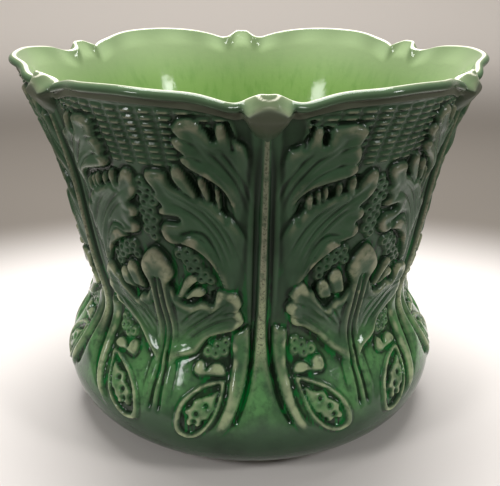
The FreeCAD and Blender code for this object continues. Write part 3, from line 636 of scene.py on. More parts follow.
@dataclass
class WaistLeaf:
    """Spatulate leaf between two stems, with a side spray on each hand and a long midrib."""

    height: float = 3.6
    blade: Line = (
        (30.2, 126.4), (32.2, 124.4), (34.0, 120.4), (35.2, 116.0), (35.3, 112.4), (34.3, 109.3), (33.2, 105.5),
        (33.3, 96.0), (33.7, 85.0), (33.9, 70.0), (33.6, 55.0), (32.4, 42.0), (30.0, 37.5), (27.6, 42.0),
        (26.4, 55.0), (26.2, 70.0), (26.3, 85.0), (26.7, 96.0), (26.6, 105.5), (25.7, 109.6),
        (24.9, 113.2), (24.9, 116.6), (26.0, 120.8), (28.1, 124.6),
    )
    stalk: Line = (
        (30.0, 66.0), (33.6, 64.0), (34.4, 56.0), (34.2, 46.0), (33.0, 38.0), (30.0, 34.5), (27.0, 38.0),
        (25.8, 46.0), (25.6, 56.0), (26.4, 64.0),
    )
    wings: tuple[Line, ...] = (
        ((-20.6, 96.4), (-17.0, 98.8), (-14.2, 98.0), (-13.3, 101.4), (-12.6, 105.2), (-11.0, 106.4),
         (-8.2, 105.4), (-6.7, 103.8), (-5.8, 101.0), (-5.5, 98.0), (-6.2, 95.0), (-5.4, 91.2),
         (-5.0, 88.2), (-5.7, 85.6), (-8.4, 81.8), (-11.0, 80.2), (-13.6, 78.4), (-16.2, 75.8),
         (-18.0, 71.4), (-19.6, 67.6), (-22.0, 65.4), (-25.0, 63.6), (-27.6, 60.0), (-30.6, 56.0),
         (-30.6, 75.0), (-30.6, 95.0), (-30.2, 108.0), (-28.0, 109.0), (-25.6, 104.0), (-23.4, 98.0)),
        ((22.4, 97.0), (19.6, 93.2), (16.8, 99.4), (15.3, 104.2), (13.7, 105.6), (11.6, 110.3),
         (9.6, 108.8), (8.2, 105.2), (7.8, 102.8), (8.5, 100.3), (7.2, 96.2), (7.4, 93.0), (8.5, 91.0),
         (9.2, 86.2), (10.2, 84.2), (12.5, 83.1), (14.2, 81.3), (16.2, 78.3), (18.2, 75.8), (20.2, 71.6),
         (22.5, 67.4), (25.0, 63.8), (27.6, 60.0), (30.6, 56.0), (30.6, 75.0), (30.6, 95.0),
         (30.2, 108.0), (28.4, 109.0), (26.4, 103.0), (24.6, 98.0)),
    )
    fingers: tuple[Line, ...] = (
        ((-25.2, 99.0), (-23.6, 104.6), (-22.0, 110.0), (-20.2, 113.6), (-18.3, 113.2), (-18.1, 110.4),
         (-19.8, 107.2), (-21.8, 101.4), (-23.6, 96.0)),
        ((-22.2, 100.4), (-19.8, 105.6), (-17.0, 107.0), (-15.9, 104.6), (-16.9, 101.8), (-19.6, 101.0),
         (-22.6, 95.4)),
        ((18.9, 111.4), (20.4, 115.3), (22.6, 113.9), (23.9, 109.0), (24.9, 101.0), (22.8, 97.6),
         (20.8, 101.4), (19.5, 106.6)),
        ((15.9, 108.4), (17.3, 110.4), (19.0, 108.6), (20.2, 104.0), (20.9, 99.0), (18.8, 96.0),
         (17.0, 99.4), (15.9, 103.6)),
    )
    gaps: tuple[Line, ...] = (
        ((-14.6, 102.0), (-17.6, 100.4), (-20.8, 99.6), (-22.6, 95.4)),
        ((-13.9, 105.0), (-13.8, 102.6), (-14.4, 100.4)),
        ((15.4, 108.6), (15.6, 105.2), (17.2, 99.0)),
    )
    veins: tuple[Line, ...] = (
        ((-7.6, 101.0), (-11.5, 97.0), (-14.2, 92.6), (-17.2, 88.0), (-20.2, 83.6), (-23.6, 78.0), (-26.4, 70.0)),
        ((-7.4, 90.4), (-12.0, 87.8), (-16.4, 83.2), (-20.4, 77.6), (-24.0, 71.0)),
        ((-16.4, 96.6), (-20.0, 91.6), (-23.2, 85.8), (-26.0, 79.0)),
        ((11.6, 103.0), (15.0, 97.6), (17.6, 93.4), (20.2, 88.8), (22.8, 83.8), (25.2, 78.6), (26.8, 71.0)),
        ((10.0, 92.6), (14.0, 88.8), (18.0, 83.0), (21.6, 76.4), (24.6, 70.0)),
        ((19.6, 97.6), (22.4, 91.0), (24.8, 84.8), (26.6, 79.0)),
    )
    notches: tuple[Line, ...] = (
        ((-5.4, 95.0), (-8.6, 93.6), (-12.0, 90.4)),
        ((7.2, 100.4), (10.2, 98.6), (13.4, 94.8)),
        ((8.2, 90.6), (11.0, 88.8), (14.6, 85.4)),
    )
    midrib_grooves: tuple[Line, ...] = (
        ((29.4, 112.0), (29.1, 104.0), (29.1, 96.0), (29.4, 80.0), (29.2, 62.0), (28.9, 50.0), (28.6, 37.0)),
        ((30.6, 112.0), (30.9, 104.0), (31.0, 96.0), (31.4, 80.0), (31.2, 62.0), (31.2, 50.0), (31.4, 37.0)),
    )

    tips: tuple[tuple[float, float, float], ...] = (
        (30.0, 121.0, 7.0), (27.0, 115.0, 4.2), (33.2, 114.0, 4.2), (-19.4, 110.6, 3.6), (-17.6, 104.2, 3.2),
        (-7.6, 102.6, 4.0), (-6.4, 93.0, 3.0), (-6.2, 87.0, 3.0), (-12.2, 103.6, 2.8), (20.9, 112.4, 3.4),
        (17.8, 108.2, 3.0), (10.8, 106.6, 4.0), (8.6, 96.4, 3.2), (9.6, 88.4, 3.0), (30.0, 100.0, 1.0),
    )

    def draw(self, relief: Relief) -> None:
        """Lay the wings, the fingers and then the blade.

        Args:
            relief: the heights to draw on.
        """
        relief.leaf(Family.WAIST_LEAF, self.stalk, 1.3, edge=6.5, moat=0.4, merge=((30.0, 52.0), (30.0, 36.0)))
        for outline in self.wings:
            relief.leaf(Family.WAIST_LEAF, outline, self.height, edge=2.2, moat=0.8, fall=1.3,
                        merge=((30.0, 66.0), (30.0, 56.0)))
        for path in self.veins:
            relief.groove(path, 1.3, 0.7, lip=0.4)
        for path in self.notches:
            relief.groove(path, 1.2, 0.7, lip=0.2)
        for path in self.gaps:
            relief.groove(path, 1.8, 1.8, taper=0.2)
        for outline in self.fingers:
            low = min(outline, key=lambda point: point[1])
            relief.leaf(Family.WAIST_LEAF, outline, self.height - 0.2, edge=1.6, moat=0.7,
                        merge=((low[0], low[1] + 6.0), (low[0], low[1] + 0.5)))
        relief.leaf(Family.WAIST_LEAF, self.blade, self.height + 0.9, edge=3.0, moat=0.8,
                    merge=((30.0, 96.0), (30.0, 64.0)))
        for path in self.midrib_grooves:
            relief.groove(path, 1.7, 2.6, taper=0.07)
        relief.wear(self.tips)


@dataclass
class SeedPods:
    """Teardrop pods beside the root, with a row of buds over each."""

    shells: tuple[Line, ...] = (
        ((-10.3, 56.7), (-13.2, 56.5), (-16.2, 54.9), (-18.7, 52.2), (-20.8, 49.2), (-22.4, 45.6),
         (-23.4, 40.0), (-23.6, 34.0), (-22.6, 29.6), (-20.0, 27.8), (-17.2, 29.2), (-14.6, 33.8),
         (-12.8, 39.0), (-11.4, 44.8), (-10.6, 51.0)),
        ((9.8, 57.8), (13.0, 57.1), (16.2, 54.9), (19.2, 52.5), (21.7, 49.0), (23.7, 44.8),
         (24.9, 40.0), (25.4, 35.0), (24.6, 30.6), (21.4, 28.8), (18.6, 30.2), (15.6, 34.4),
         (13.4, 39.6), (12.0, 45.2), (11.0, 51.4)),
    )
    hollows: tuple[Line, ...] = (
        ((-11.4, 54.9), (-13.8, 54.6), (-16.6, 52.6), (-19.4, 48.6), (-21.2, 44.4), (-22.0, 39.0),
         (-22.1, 34.0), (-20.9, 30.4), (-18.4, 30.2), (-15.8, 34.4), (-13.8, 39.4), (-12.3, 45.6)),
        ((11.2, 55.8), (14.0, 54.9), (17.0, 52.5), (19.8, 49.6), (22.0, 45.2), (23.2, 40.0),
         (23.6, 35.4), (22.4, 31.8), (19.6, 31.8), (16.8, 35.2), (14.4, 40.4), (12.8, 46.4)),
    )
    seeds: tuple[Line, ...] = (
        ((-11.8, 52.4), (-14.0, 50.6), (-16.5, 48.9), (-18.6, 47.4), (-18.9, 45.0), (-20.9, 41.8),
         (-19.7, 39.6), (-20.2, 37.0), (-19.4, 34.8), (-18.2, 36.2), (-17.0, 34.9), (-16.0, 36.6),
         (-15.6, 38.8), (-14.3, 39.4), (-13.6, 42.0), (-12.8, 44.2), (-12.6, 48.2)),
        ((12.4, 53.0), (15.0, 51.0), (18.0, 50.0), (18.6, 47.2), (20.2, 45.4), (21.8, 43.0),
         (21.4, 40.4), (22.5, 38.0), (21.5, 35.8), (20.0, 37.0), (18.2, 35.4), (17.6, 37.6),
         (16.6, 38.2), (15.8, 40.6), (14.6, 41.4), (13.8, 44.4), (13.0, 47.4)),
    )
    holes: Line = ((-17.6, 41.4), (-15.1, 45.6), (16.4, 47.4), (18.8, 43.2), (19.8, 39.0), (-18.0, 37.6))
    buds: tuple[Line, ...] = (
        ((-19.9, 59.6), (-19.5, 63.4), (-18.2, 64.9), (-16.8, 63.6), (-16.2, 60.8), (-15.3, 63.0),
         (-13.4, 64.4), (-11.2, 63.6), (-10.1, 60.6), (-10.8, 58.6), (-14.4, 58.4), (-18.0, 57.8)),
        ((9.5, 60.4), (10.4, 63.6), (12.4, 64.4), (14.4, 63.0), (15.3, 61.2), (15.8, 64.4),
         (17.4, 66.4), (19.2, 65.4), (19.8, 61.6), (18.6, 58.6), (14.6, 59.4), (11.2, 58.8)),
    )
    ridge_height: float = 1.5
    tips: tuple[tuple[float, float, float], ...] = (
        (-17.5, 53.5, 4.0), (-22.6, 45.0, 3.6), (-12.6, 56.4, 3.0), (-21.0, 28.6, 2.6),
        (18.0, 53.4, 4.0), (23.4, 45.0, 3.6), (12.6, 57.2, 3.0), (22.6, 29.6, 2.6),
        (-17.6, 40.6, 8.0), (19.0, 41.8, 8.0), (-18.4, 62.0, 3.4), (-12.8, 61.8, 3.6), (12.4, 61.4, 3.6),
        (17.8, 62.6, 4.0), (-14.0, 48.0, 4.0), (15.0, 48.6, 4.0),
    )

    def draw(self, relief: Relief) -> None:
        """Lay the pods and the buds.

        Args:
            relief: the heights to draw on.
        """
        for outline in self.buds:
            relief.leaf(Family.SEED_POD, outline, 1.9, edge=1.8, moat=0.9)
        for shell, hollow, seeds in zip(self.shells, self.hollows, self.seeds):
            relief.leaf(Family.SEED_POD, shell, self.ridge_height, edge=1.0, moat=0.5)
            relief.leaf(Family.SEED_POD, hollow, -1.1, edge=0.9, moat=0.0)
            relief.leaf(Family.SEED_POD, seeds, 1.2, edge=0.9, moat=0.3)
        for centre in self.holes:
            relief.hole(centre, 1.3, 2.2)
        relief.wear(self.tips)


# ------------------------------------------------------------------ form


@dataclass
class VesselForm:
    """Plain form of the vessel: its profile, its six lobes and the line of its rim, in millimetres.

    Each pair in the crown's and the face's fields is (degrees from the middle of a knob, value).
    """

    stations: Line = (
        (92.0, 3.0), (103.0, 12.0), (110.3, 34.0), (100.0, 56.5), (91.6, 74.0), (95.0, 97.0),
        (103.9, 144.0), (113.0, 176.0), (124.9, 206.4),
    )
    lobe_depth: float = 4.3
    lobe_from: float = 130.0
    lip_level: float = 206.4
    thickness: float = 5.0
    floor_level: float = 9.0
    floor_radius: float = 80.0
    crown_radius: Line = ((0.0, 120.1), (2.0, 118.9), (4.0, 115.0), (5.6, 116.0), (7.5, 118.9), (13.0, 120.3),
                          (21.0, 125.2), (30.0, 126.2))
    crown_level: Line = ((0.0, 204.0), (1.5, 204.0), (3.0, 202.6), (5.0, 200.6), (6.5, 200.1), (9.0, 201.3),
                         (12.0, 203.0), (15.0, 204.3), (20.0, 205.5), (30.0, 206.4))
    face_foot: Point = (184.4, 8.0)
    face_radii: tuple[float, ...] = (123.4, 124.2, 124.2, 123.4)
    face_shares: tuple[float, ...] = (0.28, 0.56, 0.76, 0.92, 1.03)
    face_blend: Point = (3.5, 5.7)
    roll: Line = ((1.9, -4.0), (2.75, -3.3), (3.0, -2.0), (2.2, -0.7), (0.9, -0.05), (0.0, 0.0),
                  (-1.2, -0.4), (-2.2, -1.6))
    ledge: Line = ((0.0, -7.0), (0.9, -6.9), (1.4, -4.3))
    inner_drop: float = 9.0

    def __post_init__(self) -> None:
        """Trace the profile once."""
        radius, level = np.array(self.stations).T
        chord = np.concatenate([[0], np.cumsum(np.hypot(np.diff(radius), np.diff(level)))])
        fine = np.linspace(0, chord[-1], 1500)
        self.profile = spline(chord, radius, fine), spline(chord, level, fine)

    def ground(self, level: Grid, azimuth: Grid) -> Grid:
        """Radius of the wall without its ornament.

        Args:
            level: millimetres above the floor.
            azimuth: degrees from a main stem.

        Returns:
            The radius in millimetres.
        """
        radius, at = self.profile
        rise = np.clip((level - self.lobe_from) / (self.lip_level - self.lobe_from), 0, None)
        return np.interp(level, at, radius) - self.lobe_depth * rise ** 1.5 * np.cos(np.radians(REPEATS * azimuth))

    def facing(self, level: Grid, azimuth: Grid) -> tuple[Grid, Grid]:
        """Outward and upward parts of the wall's facing direction in its own section."""
        slope = (self.ground(level + 0.5, azimuth) - self.ground(level - 0.5, azimuth)) / 1.0
        size = np.hypot(1.0, slope)
        return 1.0 / size, -slope / size

    def round_knob(self, pairs: Line, azimuth: Grid) -> Grid:
        """A smooth value round the rim from (degrees from a knob, value) pairs."""
        at, value = np.array(pairs).T
        at = np.concatenate([-at[:0:-1], at, 60 - at[-2::-1]])
        value = np.concatenate([value[:0:-1], value, value[-2::-1]])
        near = np.abs((azimuth + PITCH / 2) % PITCH - PITCH / 2)
        return spline(at, value, near)

    def knob_share(self, azimuth: Grid) -> Grid:
        """One on a knob's face and zero on the roll."""
        near = np.abs((azimuth + PITCH / 2) % PITCH - PITCH / 2)
        return 1 - ease((near - self.face_blend[0]) / (self.face_blend[1] - self.face_blend[0]))

    def band(self, azimuth: Grid) -> Grid:
        """Level at which the rim starts."""
        share = self.knob_share(azimuth)
        level = self.round_knob(self.crown_level, azimuth) + self.ledge[0][1]
        return share * self.knob_foot(azimuth) + (1 - share) * level

    def knob_foot(self, azimuth: Grid) -> Grid:
        """Level at which a knob's face springs from the stem."""
        near = np.abs((azimuth + PITCH / 2) % PITCH - PITCH / 2)
        low, climb = self.face_foot
        return low + climb * (np.clip(near, 0, 6) / 4.7) ** 2.2

    def rim(self, azimuth: Grid, start_radius: Grid, steps: int) -> tuple[Grid, Grid]:
        """Rows over the rim, from the wall outside to the wall inside.

        Args:
            azimuth: degrees, one per column.
            start_radius: radius of the wall with its ornament where the rim starts.
            steps: rows between two points of the section.

        Returns:
            Radius and level, one row per place on the section.
        """
        near = np.abs((azimuth + PITCH / 2) % PITCH - PITCH / 2)
        crown = self.round_knob(self.crown_radius, azimuth)
        top = self.round_knob(self.crown_level, azimuth)
        share = self.knob_share(azimuth)
        ground = self.ground(top + self.ledge[0][1], azimuth)
        lobe = [(ground + out, top + up) for out, up in self.ledge]
        lobe += [(crown + out, top + up) for out, up in self.roll]
        edge = 198.8 - 4.5 * (np.clip(near, 0, 6) / 4.7) ** 1.6
        foot = self.knob_foot(azimuth)
        out = [0.42 * start_radius + 0.58 * self.face_radii[0]] + [np.full_like(top, r) for r in self.face_radii]
        knob = [(start_radius, foot)]
        knob += [(radius, foot + share_up * (edge - foot)) for radius, share_up in zip(out, self.face_shares)]
        last_radius, last_level = knob[-1]
        for inward, upward in ((0.35, 0.48), (0.73, 0.92)):
            knob.append((last_radius + inward * (crown - last_radius), last_level + upward * (top - last_level)))
        knob += [(crown, top), (crown - 1.2, top - 0.4), (crown - 2.2, top - 1.8)]
        inner_level = top - self.inner_drop
        inside = (self.ground(inner_level, azimuth) - self.thickness, inner_level)
        points = np.array([[share * k + (1 - share) * p for k, p in zip(on_knob, on_lobe)]
                           for on_knob, on_lobe in zip(knob + [inside], lobe + [inside])])
        points[0, 0] = start_radius
        padded = np.concatenate([2 * points[:1] - points[1:2], points, 2 * points[-1:] - points[-2:-1]])
        a, b, c, d = (padded[k:len(padded) - 3 + k][:, None] for k in range(4))
        t = np.linspace(0, 1, steps, endpoint=False)[None, :, None, None]
        run = 0.5 * (2 * b + (c - a) * t + (2 * a - 5 * b + 4 * c - d) * t ** 2 + (3 * b - a - 3 * c + d) * t ** 3)
        run = run.reshape(-1, 2, len(azimuth))
        return run[:, 0], run[:, 1]


@dataclass
class Field:
    """The whole surface as one grid: bottom, wall with its relief, rim and inside, with its marks."""

    form: VesselForm = field(default_factory=VesselForm)
    columns: int = 960
    row_gap: float = 0.6
    top_row_gap: float = 0.45
    stretch_from: float = 180.0
    rim_steps: int = 4
    inner_row_gap: float = 2.0
    bottom: Line = ((80.0, 3.0), (86.0, 3.0), (89.6, 3.02), (91.0, 3.25), (92.2, 3.9))
    first_level: float = 4.6
    softening: float = 0.75
    back_depth: float = 3.0

    def __post_init__(self) -> None:
        """Draw the relief on one cell and lay the rows of the whole surface."""
        form = self.form
        azimuth = np.arange(self.columns) * 360.0 / self.columns
        band = form.band(azimuth)
        mean_top = 200.0
        levels = np.concatenate([
            np.arange(self.first_level, self.stretch_from, self.row_gap),
            np.linspace(self.stretch_from, mean_top, int((mean_top - self.stretch_from) / self.top_row_gap)),
        ])[:, None]
        stretch = (band - self.stretch_from) / (mean_top - self.stretch_from)
        level = np.where(levels > self.stretch_from, self.stretch_from + (levels - self.stretch_from) * stretch, levels)
        cell = self.columns // REPEATS
        part = slice(0, cell)
        here = (azimuth[part] + PITCH / 2) % PITCH - PITCH / 2
        relief = Relief(np.broadcast_to(here, (len(levels), cell)).copy(), level[:, part].copy())
        band_here = np.broadcast_to(band[part], relief.level.shape)
        Basketweave().draw(relief, band_here)
        SeedHeads().draw(relief)
        stem = StemTree()
        stem.draw_core(relief)
        LowerLeaves().draw(relief)
        stem.draw_leaves(relief)
        WaistLeaf().draw(relief)
        SeedPods().draw(relief)
        stem.draw_root(relief)
        height = np.clip(blurred(relief.height, self.softening, self.softening), -2.1, None)
        relief.label[-1] = Family.WALL.value
        self.label = np.tile(tidied(relief.label[:-1]), (1, REPEATS))
        height = np.tile(height, (1, REPEATS))
        out, up = form.facing(level, azimuth)
        ground = form.ground(level, azimuth)
        radius = ground + out * height
        rise = level + up * height
        below = blurred(np.minimum(height, 0.0), 1.5, 1.5) - self.back_depth
        self.under = self.placed(ground + out * below, level + up * below, azimuth)
        rim_radius, rim_level = form.rim(azimuth, radius[-1], self.rim_steps)
        rim_level[0] = rise[-1]
        inner_radius, inner_level = self.inner_rows(azimuth)
        bottom_radius = [np.full(self.columns, r) for r, _ in self.bottom]
        bottom_level = [np.full(self.columns, z) for _, z in self.bottom]
        self.first_wall = len(self.bottom)
        self.last_wall = self.first_wall + len(levels) - 1
        self.first_inner = self.last_wall + len(rim_radius)
        radii = np.vstack([bottom_radius, radius, rim_radius[1:], inner_radius])
        rises = np.vstack([bottom_level, rise, rim_level[1:], inner_level])
        self.place = self.placed(radii, rises, azimuth)
        self.normal = facing_of(self.place)
        self.marks = self.marked(radii.shape, azimuth, height, relief)

    def inner_rows(self, azimuth: Grid) -> tuple[Grid, Grid]:
        """Rows down the inside to the edge of the floor, with a rounded corner."""
        form = self.form
        top = form.round_knob(form.crown_level, azimuth) - form.inner_drop
        corner = 13.0
        count = int((top.mean() - form.floor_level - corner) / self.inner_row_gap)
        share = np.linspace(0, 1, count)[:, None]
        low = form.floor_level + corner
        level = top + share * (low - top)
        radius = form.ground(level, azimuth) - form.thickness
        turn = np.linspace(0, math.pi / 2, 9)[1:, None]
        round_level = form.floor_level + corner * (1 - np.sin(turn)) + 0 * azimuth
        round_radius = form.floor_radius + (radius[-1] - form.floor_radius) * np.cos(turn)
        return np.vstack([radius, round_radius]), np.vstack([level, round_level])

    @staticmethod
    def placed(radius: Grid, level: Grid, azimuth: Grid) -> Grid:
        """Points in metres from radius, level and azimuth."""
        angle = np.radians(azimuth)
        return np.stack([radius * np.sin(angle), -radius * np.cos(angle), level + 0 * angle], axis=-1) * MM

    def marked(self, shape: tuple[int, int], azimuth: Grid, height: Grid, relief: Relief) -> Grid:
        """How the glaze lies on each grid point.

        Args:
            shape: rows and columns of the whole surface.
            azimuth: degrees, one per column.
            height: of the relief over the wall.
            relief: where the ribs and the worn tips are, on one cell.

        Returns:
            One layer each for thin, pooled, inside, speckled and dry glaze, from 0 to 1.
        """
        fine = height - blurred(height, 2.6, 2.2)
        broad = height - blurred(height, 8.0, 7.0)
        marks = np.zeros(shape + (5,))
        wall = slice(self.first_wall, self.last_wall + 1)
        raised = np.clip(0.9 * fine + 0.16 * broad, 0, 1)
        speckle = np.tile(relief.speckle, (1, REPEATS))
        worn = np.tile(relief.worn, (1, REPEATS)) * ease((height - 0.6) / 1.4)
        marks[wall, :, 0] = np.clip(raised * (0.55 + 0.6 * worn) + 0.42 * worn, 0, 1)
        near = np.abs((azimuth + PITCH / 2) % PITCH - PITCH / 2)
        level = np.tile(relief.level, (1, REPEATS))
        by_stem = 0.3 * np.exp(-(near / 7.0) ** 2) * ease((level - 80.0) / 30.0) * (1 - speckle)
        by_knob = 0.3 * np.exp(-((near - 7.4) / 2.6) ** 2) * ease((level - 178.0) / 12.0)
        in_belly = 0.3 + 0.25 * ease((90.0 - level) / 30.0)
        marks[wall, :, 1] = np.clip(-0.9 * fine - in_belly * broad + by_stem + by_knob, 0, 1)
        marks[wall, :, 3] = speckle
        share = self.form.knob_share(azimuth)
        rows = np.arange(self.last_wall, self.first_inner)
        at = np.arange(len(rows)) / self.rim_steps
        steps = np.arange(12)
        thin = np.interp(at, steps, (0, 0.1, 0.1, 0.15, 0.2, 0.1, 0.15, 0.7, 1, 0.7, 0.1, 0.0))[:, None]
        knob_thin = np.interp(at, steps, (0, 0, 0, 0.1, 0.2, 0.7, 0.3, 0.5, 1, 0.7, 0.1, 0.0))[:, None]
        facet = np.hypot(near / 2.0, (at[:, None] - 7.2) / 1.1)
        outline = 0.6 * np.exp(-((facet - 1) / 0.16) ** 2)
        lobe_dry = np.interp(at, steps, (0.1, 0.8, 0.8, 0.3, 0, 0, 0, 0, 0, 0, 0, 0))[:, None]
        knob_dry = np.interp(at, steps, (0.2, 0.7, 0.8, 0.8, 0.8, 0.4, 0, 0, 0, 0, 0, 0))[:, None]
        marks[rows, :, 0] = np.clip((1 - share) * thin + share * knob_thin + share * outline, 0, 1)
        marks[rows, :, 1] = 0.35 * np.interp(at, steps, (1, 0.3, 0.3, 0.6, 0, 0, 0, 0, 0, 0, 0, 0))[:, None]
        lobe_inside = np.interp(at, (3.0, 5.0, 8.5, 11.0), (0.0, 0.1, 0.32, 1.0))[:, None]
        knob_inside = np.interp(at, (4.6, 5.6, 8.5, 11.0), (0.0, 0.45, 0.5, 1.0))[:, None]
        marks[rows, :, 2] = (1 - share) * lobe_inside + share * knob_inside
        marks[rows, :, 4] = (1 - share) * lobe_dry + share * knob_dry
        marks[self.first_inner:, :, 2] = 1.0
        return marks


def tidied(label: Grid) -> Grid:
    """Labels in which no two faces of one piece touch at a corner only."""
    label = label.copy()
    for _ in range(40):
        right = np.roll(label, -1, axis=1)
        a, b, c, d = label[:-1], right[:-1], label[1:], right[1:]
        first = (a == d) & (a != b) & (a != c)
        second = (b == c) & (b != a) & (b != d)
        if not (first | second).any():
            break
        rows, columns = np.nonzero(first)
        label[rows + 1, columns] = label[rows, columns]
        rows, columns = np.nonzero(second & ~first)
        label[rows, columns] = label[rows + 1, columns]
    return label


def facing_of(place: Grid) -> Grid:
    """Outward directions of a surface grid that goes on round its columns."""
    round_way = np.roll(place, -1, axis=1) - np.roll(place, 1, axis=1)
    up_way = np.gradient(place, axis=0)
    facing = np.cross(round_way, up_way)
    return facing / np.linalg.norm(facing, axis=2, keepdims=True)


# ------------------------------------------------------------------ pieces


@dataclass
class Shell:
    """Vertices and faces of one closed piece, gathered before its mesh is made.

    Fields:
        place: points in metres.
        normal: facing directions of the smooth surface at the points.
        marks: how the glaze lies at the points.
        chart: place of each point on the piece's texture, from 0 to 1.
        shown: four-sided faces that can be seen.
        hidden: four-sided faces that lie against another piece.
        caps: many-sided faces that lie against another piece.
    """

    place: Grid
    normal: Grid
    marks: Grid
    chart: Grid
    shown: list[Grid] = field(default_factory=list)
    hidden: list[Grid] = field(default_factory=list)
    caps: list[list[int]] = field(default_factory=list)

    def build(self, name: str) -> bpy.types.Object:
        """Make the piece.

        Args:
            name: its name.

        Returns:
            The new object, linked to the scene.
        """
        quads = np.vstack(self.shown + self.hidden)
        loops = np.concatenate([quads.ravel()] + [np.array(cap) for cap in self.caps])
        used, loops = np.unique(loops, return_inverse=True)
        mesh = bpy.data.meshes.new(name)
        mesh.vertices.add(len(used))
        mesh.vertices.foreach_set("co", self.place[used].ravel())
        mesh.loops.add(len(loops))
        mesh.loops.foreach_set("vertex_index", loops.astype(np.int32))
        starts = list(range(0, quads.size, 4))
        for cap in self.caps:
            starts.append(starts[-1] + (4 if len(starts) == len(quads) else len(self.caps[0])))
        mesh.polygons.add(len(starts))
        mesh.polygons.foreach_set("loop_start", np.array(starts, np.int32))
        mesh.update(calc_edges=True)
        mesh.polygons.foreach_set("use_smooth", np.ones(len(starts), bool))
        chart = self.chart[used][loops].copy()
        seen = sum(len(quads) for quads in self.shown) * 4
        chart[:, 0] *= 0.96
        chart[seen:, 0] = 0.97 + 0.03 * chart[seen:, 0]
        mesh.uv_layers.new(name="OFBake").data.foreach_set("uv", chart.ravel())
        facing = mesh.attributes.new("custom_normal", "FLOAT_VECTOR", "POINT")
        facing.data.foreach_set("vector", self.normal[used].ravel())
        for index, mark in enumerate(MARKS):
            layer = mesh.attributes.new(mark, "FLOAT", "POINT")
            layer.data.foreach_set("value", self.marks[used, index].astype(np.float32))
        mesh.validate()
        piece = bpy.data.objects.new(name, mesh)
        bpy.context.scene.collection.objects.link(piece)
        return piece


MARKS = ("thin", "pooled", "inside", "speckled", "dry")


def quads_of(index: Grid, mask: Grid) -> Grid:
    """Four-sided faces of a grid of vertex numbers, where mask is set."""
    corners = np.stack([index[:-1, :-1], index[:-1, 1:], index[1:, 1:], index[1:, :-1]], axis=-1)
    return corners[mask]


def sides_of(front: Grid, back: Grid, mask: Grid, beyond: bool) -> Grid:
    """Faces from front down to back along the edge of a mask.

    Args:
        front: vertex numbers of the front grid.
        back: vertex numbers of the back grid.
        mask: which faces of the grid are set.
        beyond: whether the faces outside the grid count as set.

    Returns:
        Four-sided faces.
    """
    wide = np.pad(mask, 1, constant_values=beyond)
    low = mask & ~wide[:-2, 1:-1]
    high = mask & ~wide[2:, 1:-1]
    left = mask & ~wide[1:-1, :-2]
    right = mask & ~wide[1:-1, 2:]
    corner = {"a": (slice(None, -1), slice(None, -1)), "b": (slice(None, -1), slice(1, None)),
              "c": (slice(1, None), slice(1, None)), "d": (slice(1, None), slice(None, -1))}
    sides = []
    for here, start, end in ((low, "b", "a"), (right, "c", "b"), (high, "d", "c"), (left, "a", "d")):
        one, two = front[corner[start]], front[corner[end]]
        three, four = back[corner[end]], back[corner[start]]
        sides.append(np.stack([one, two, three, four], axis=-1)[here])
    return np.vstack(sides)


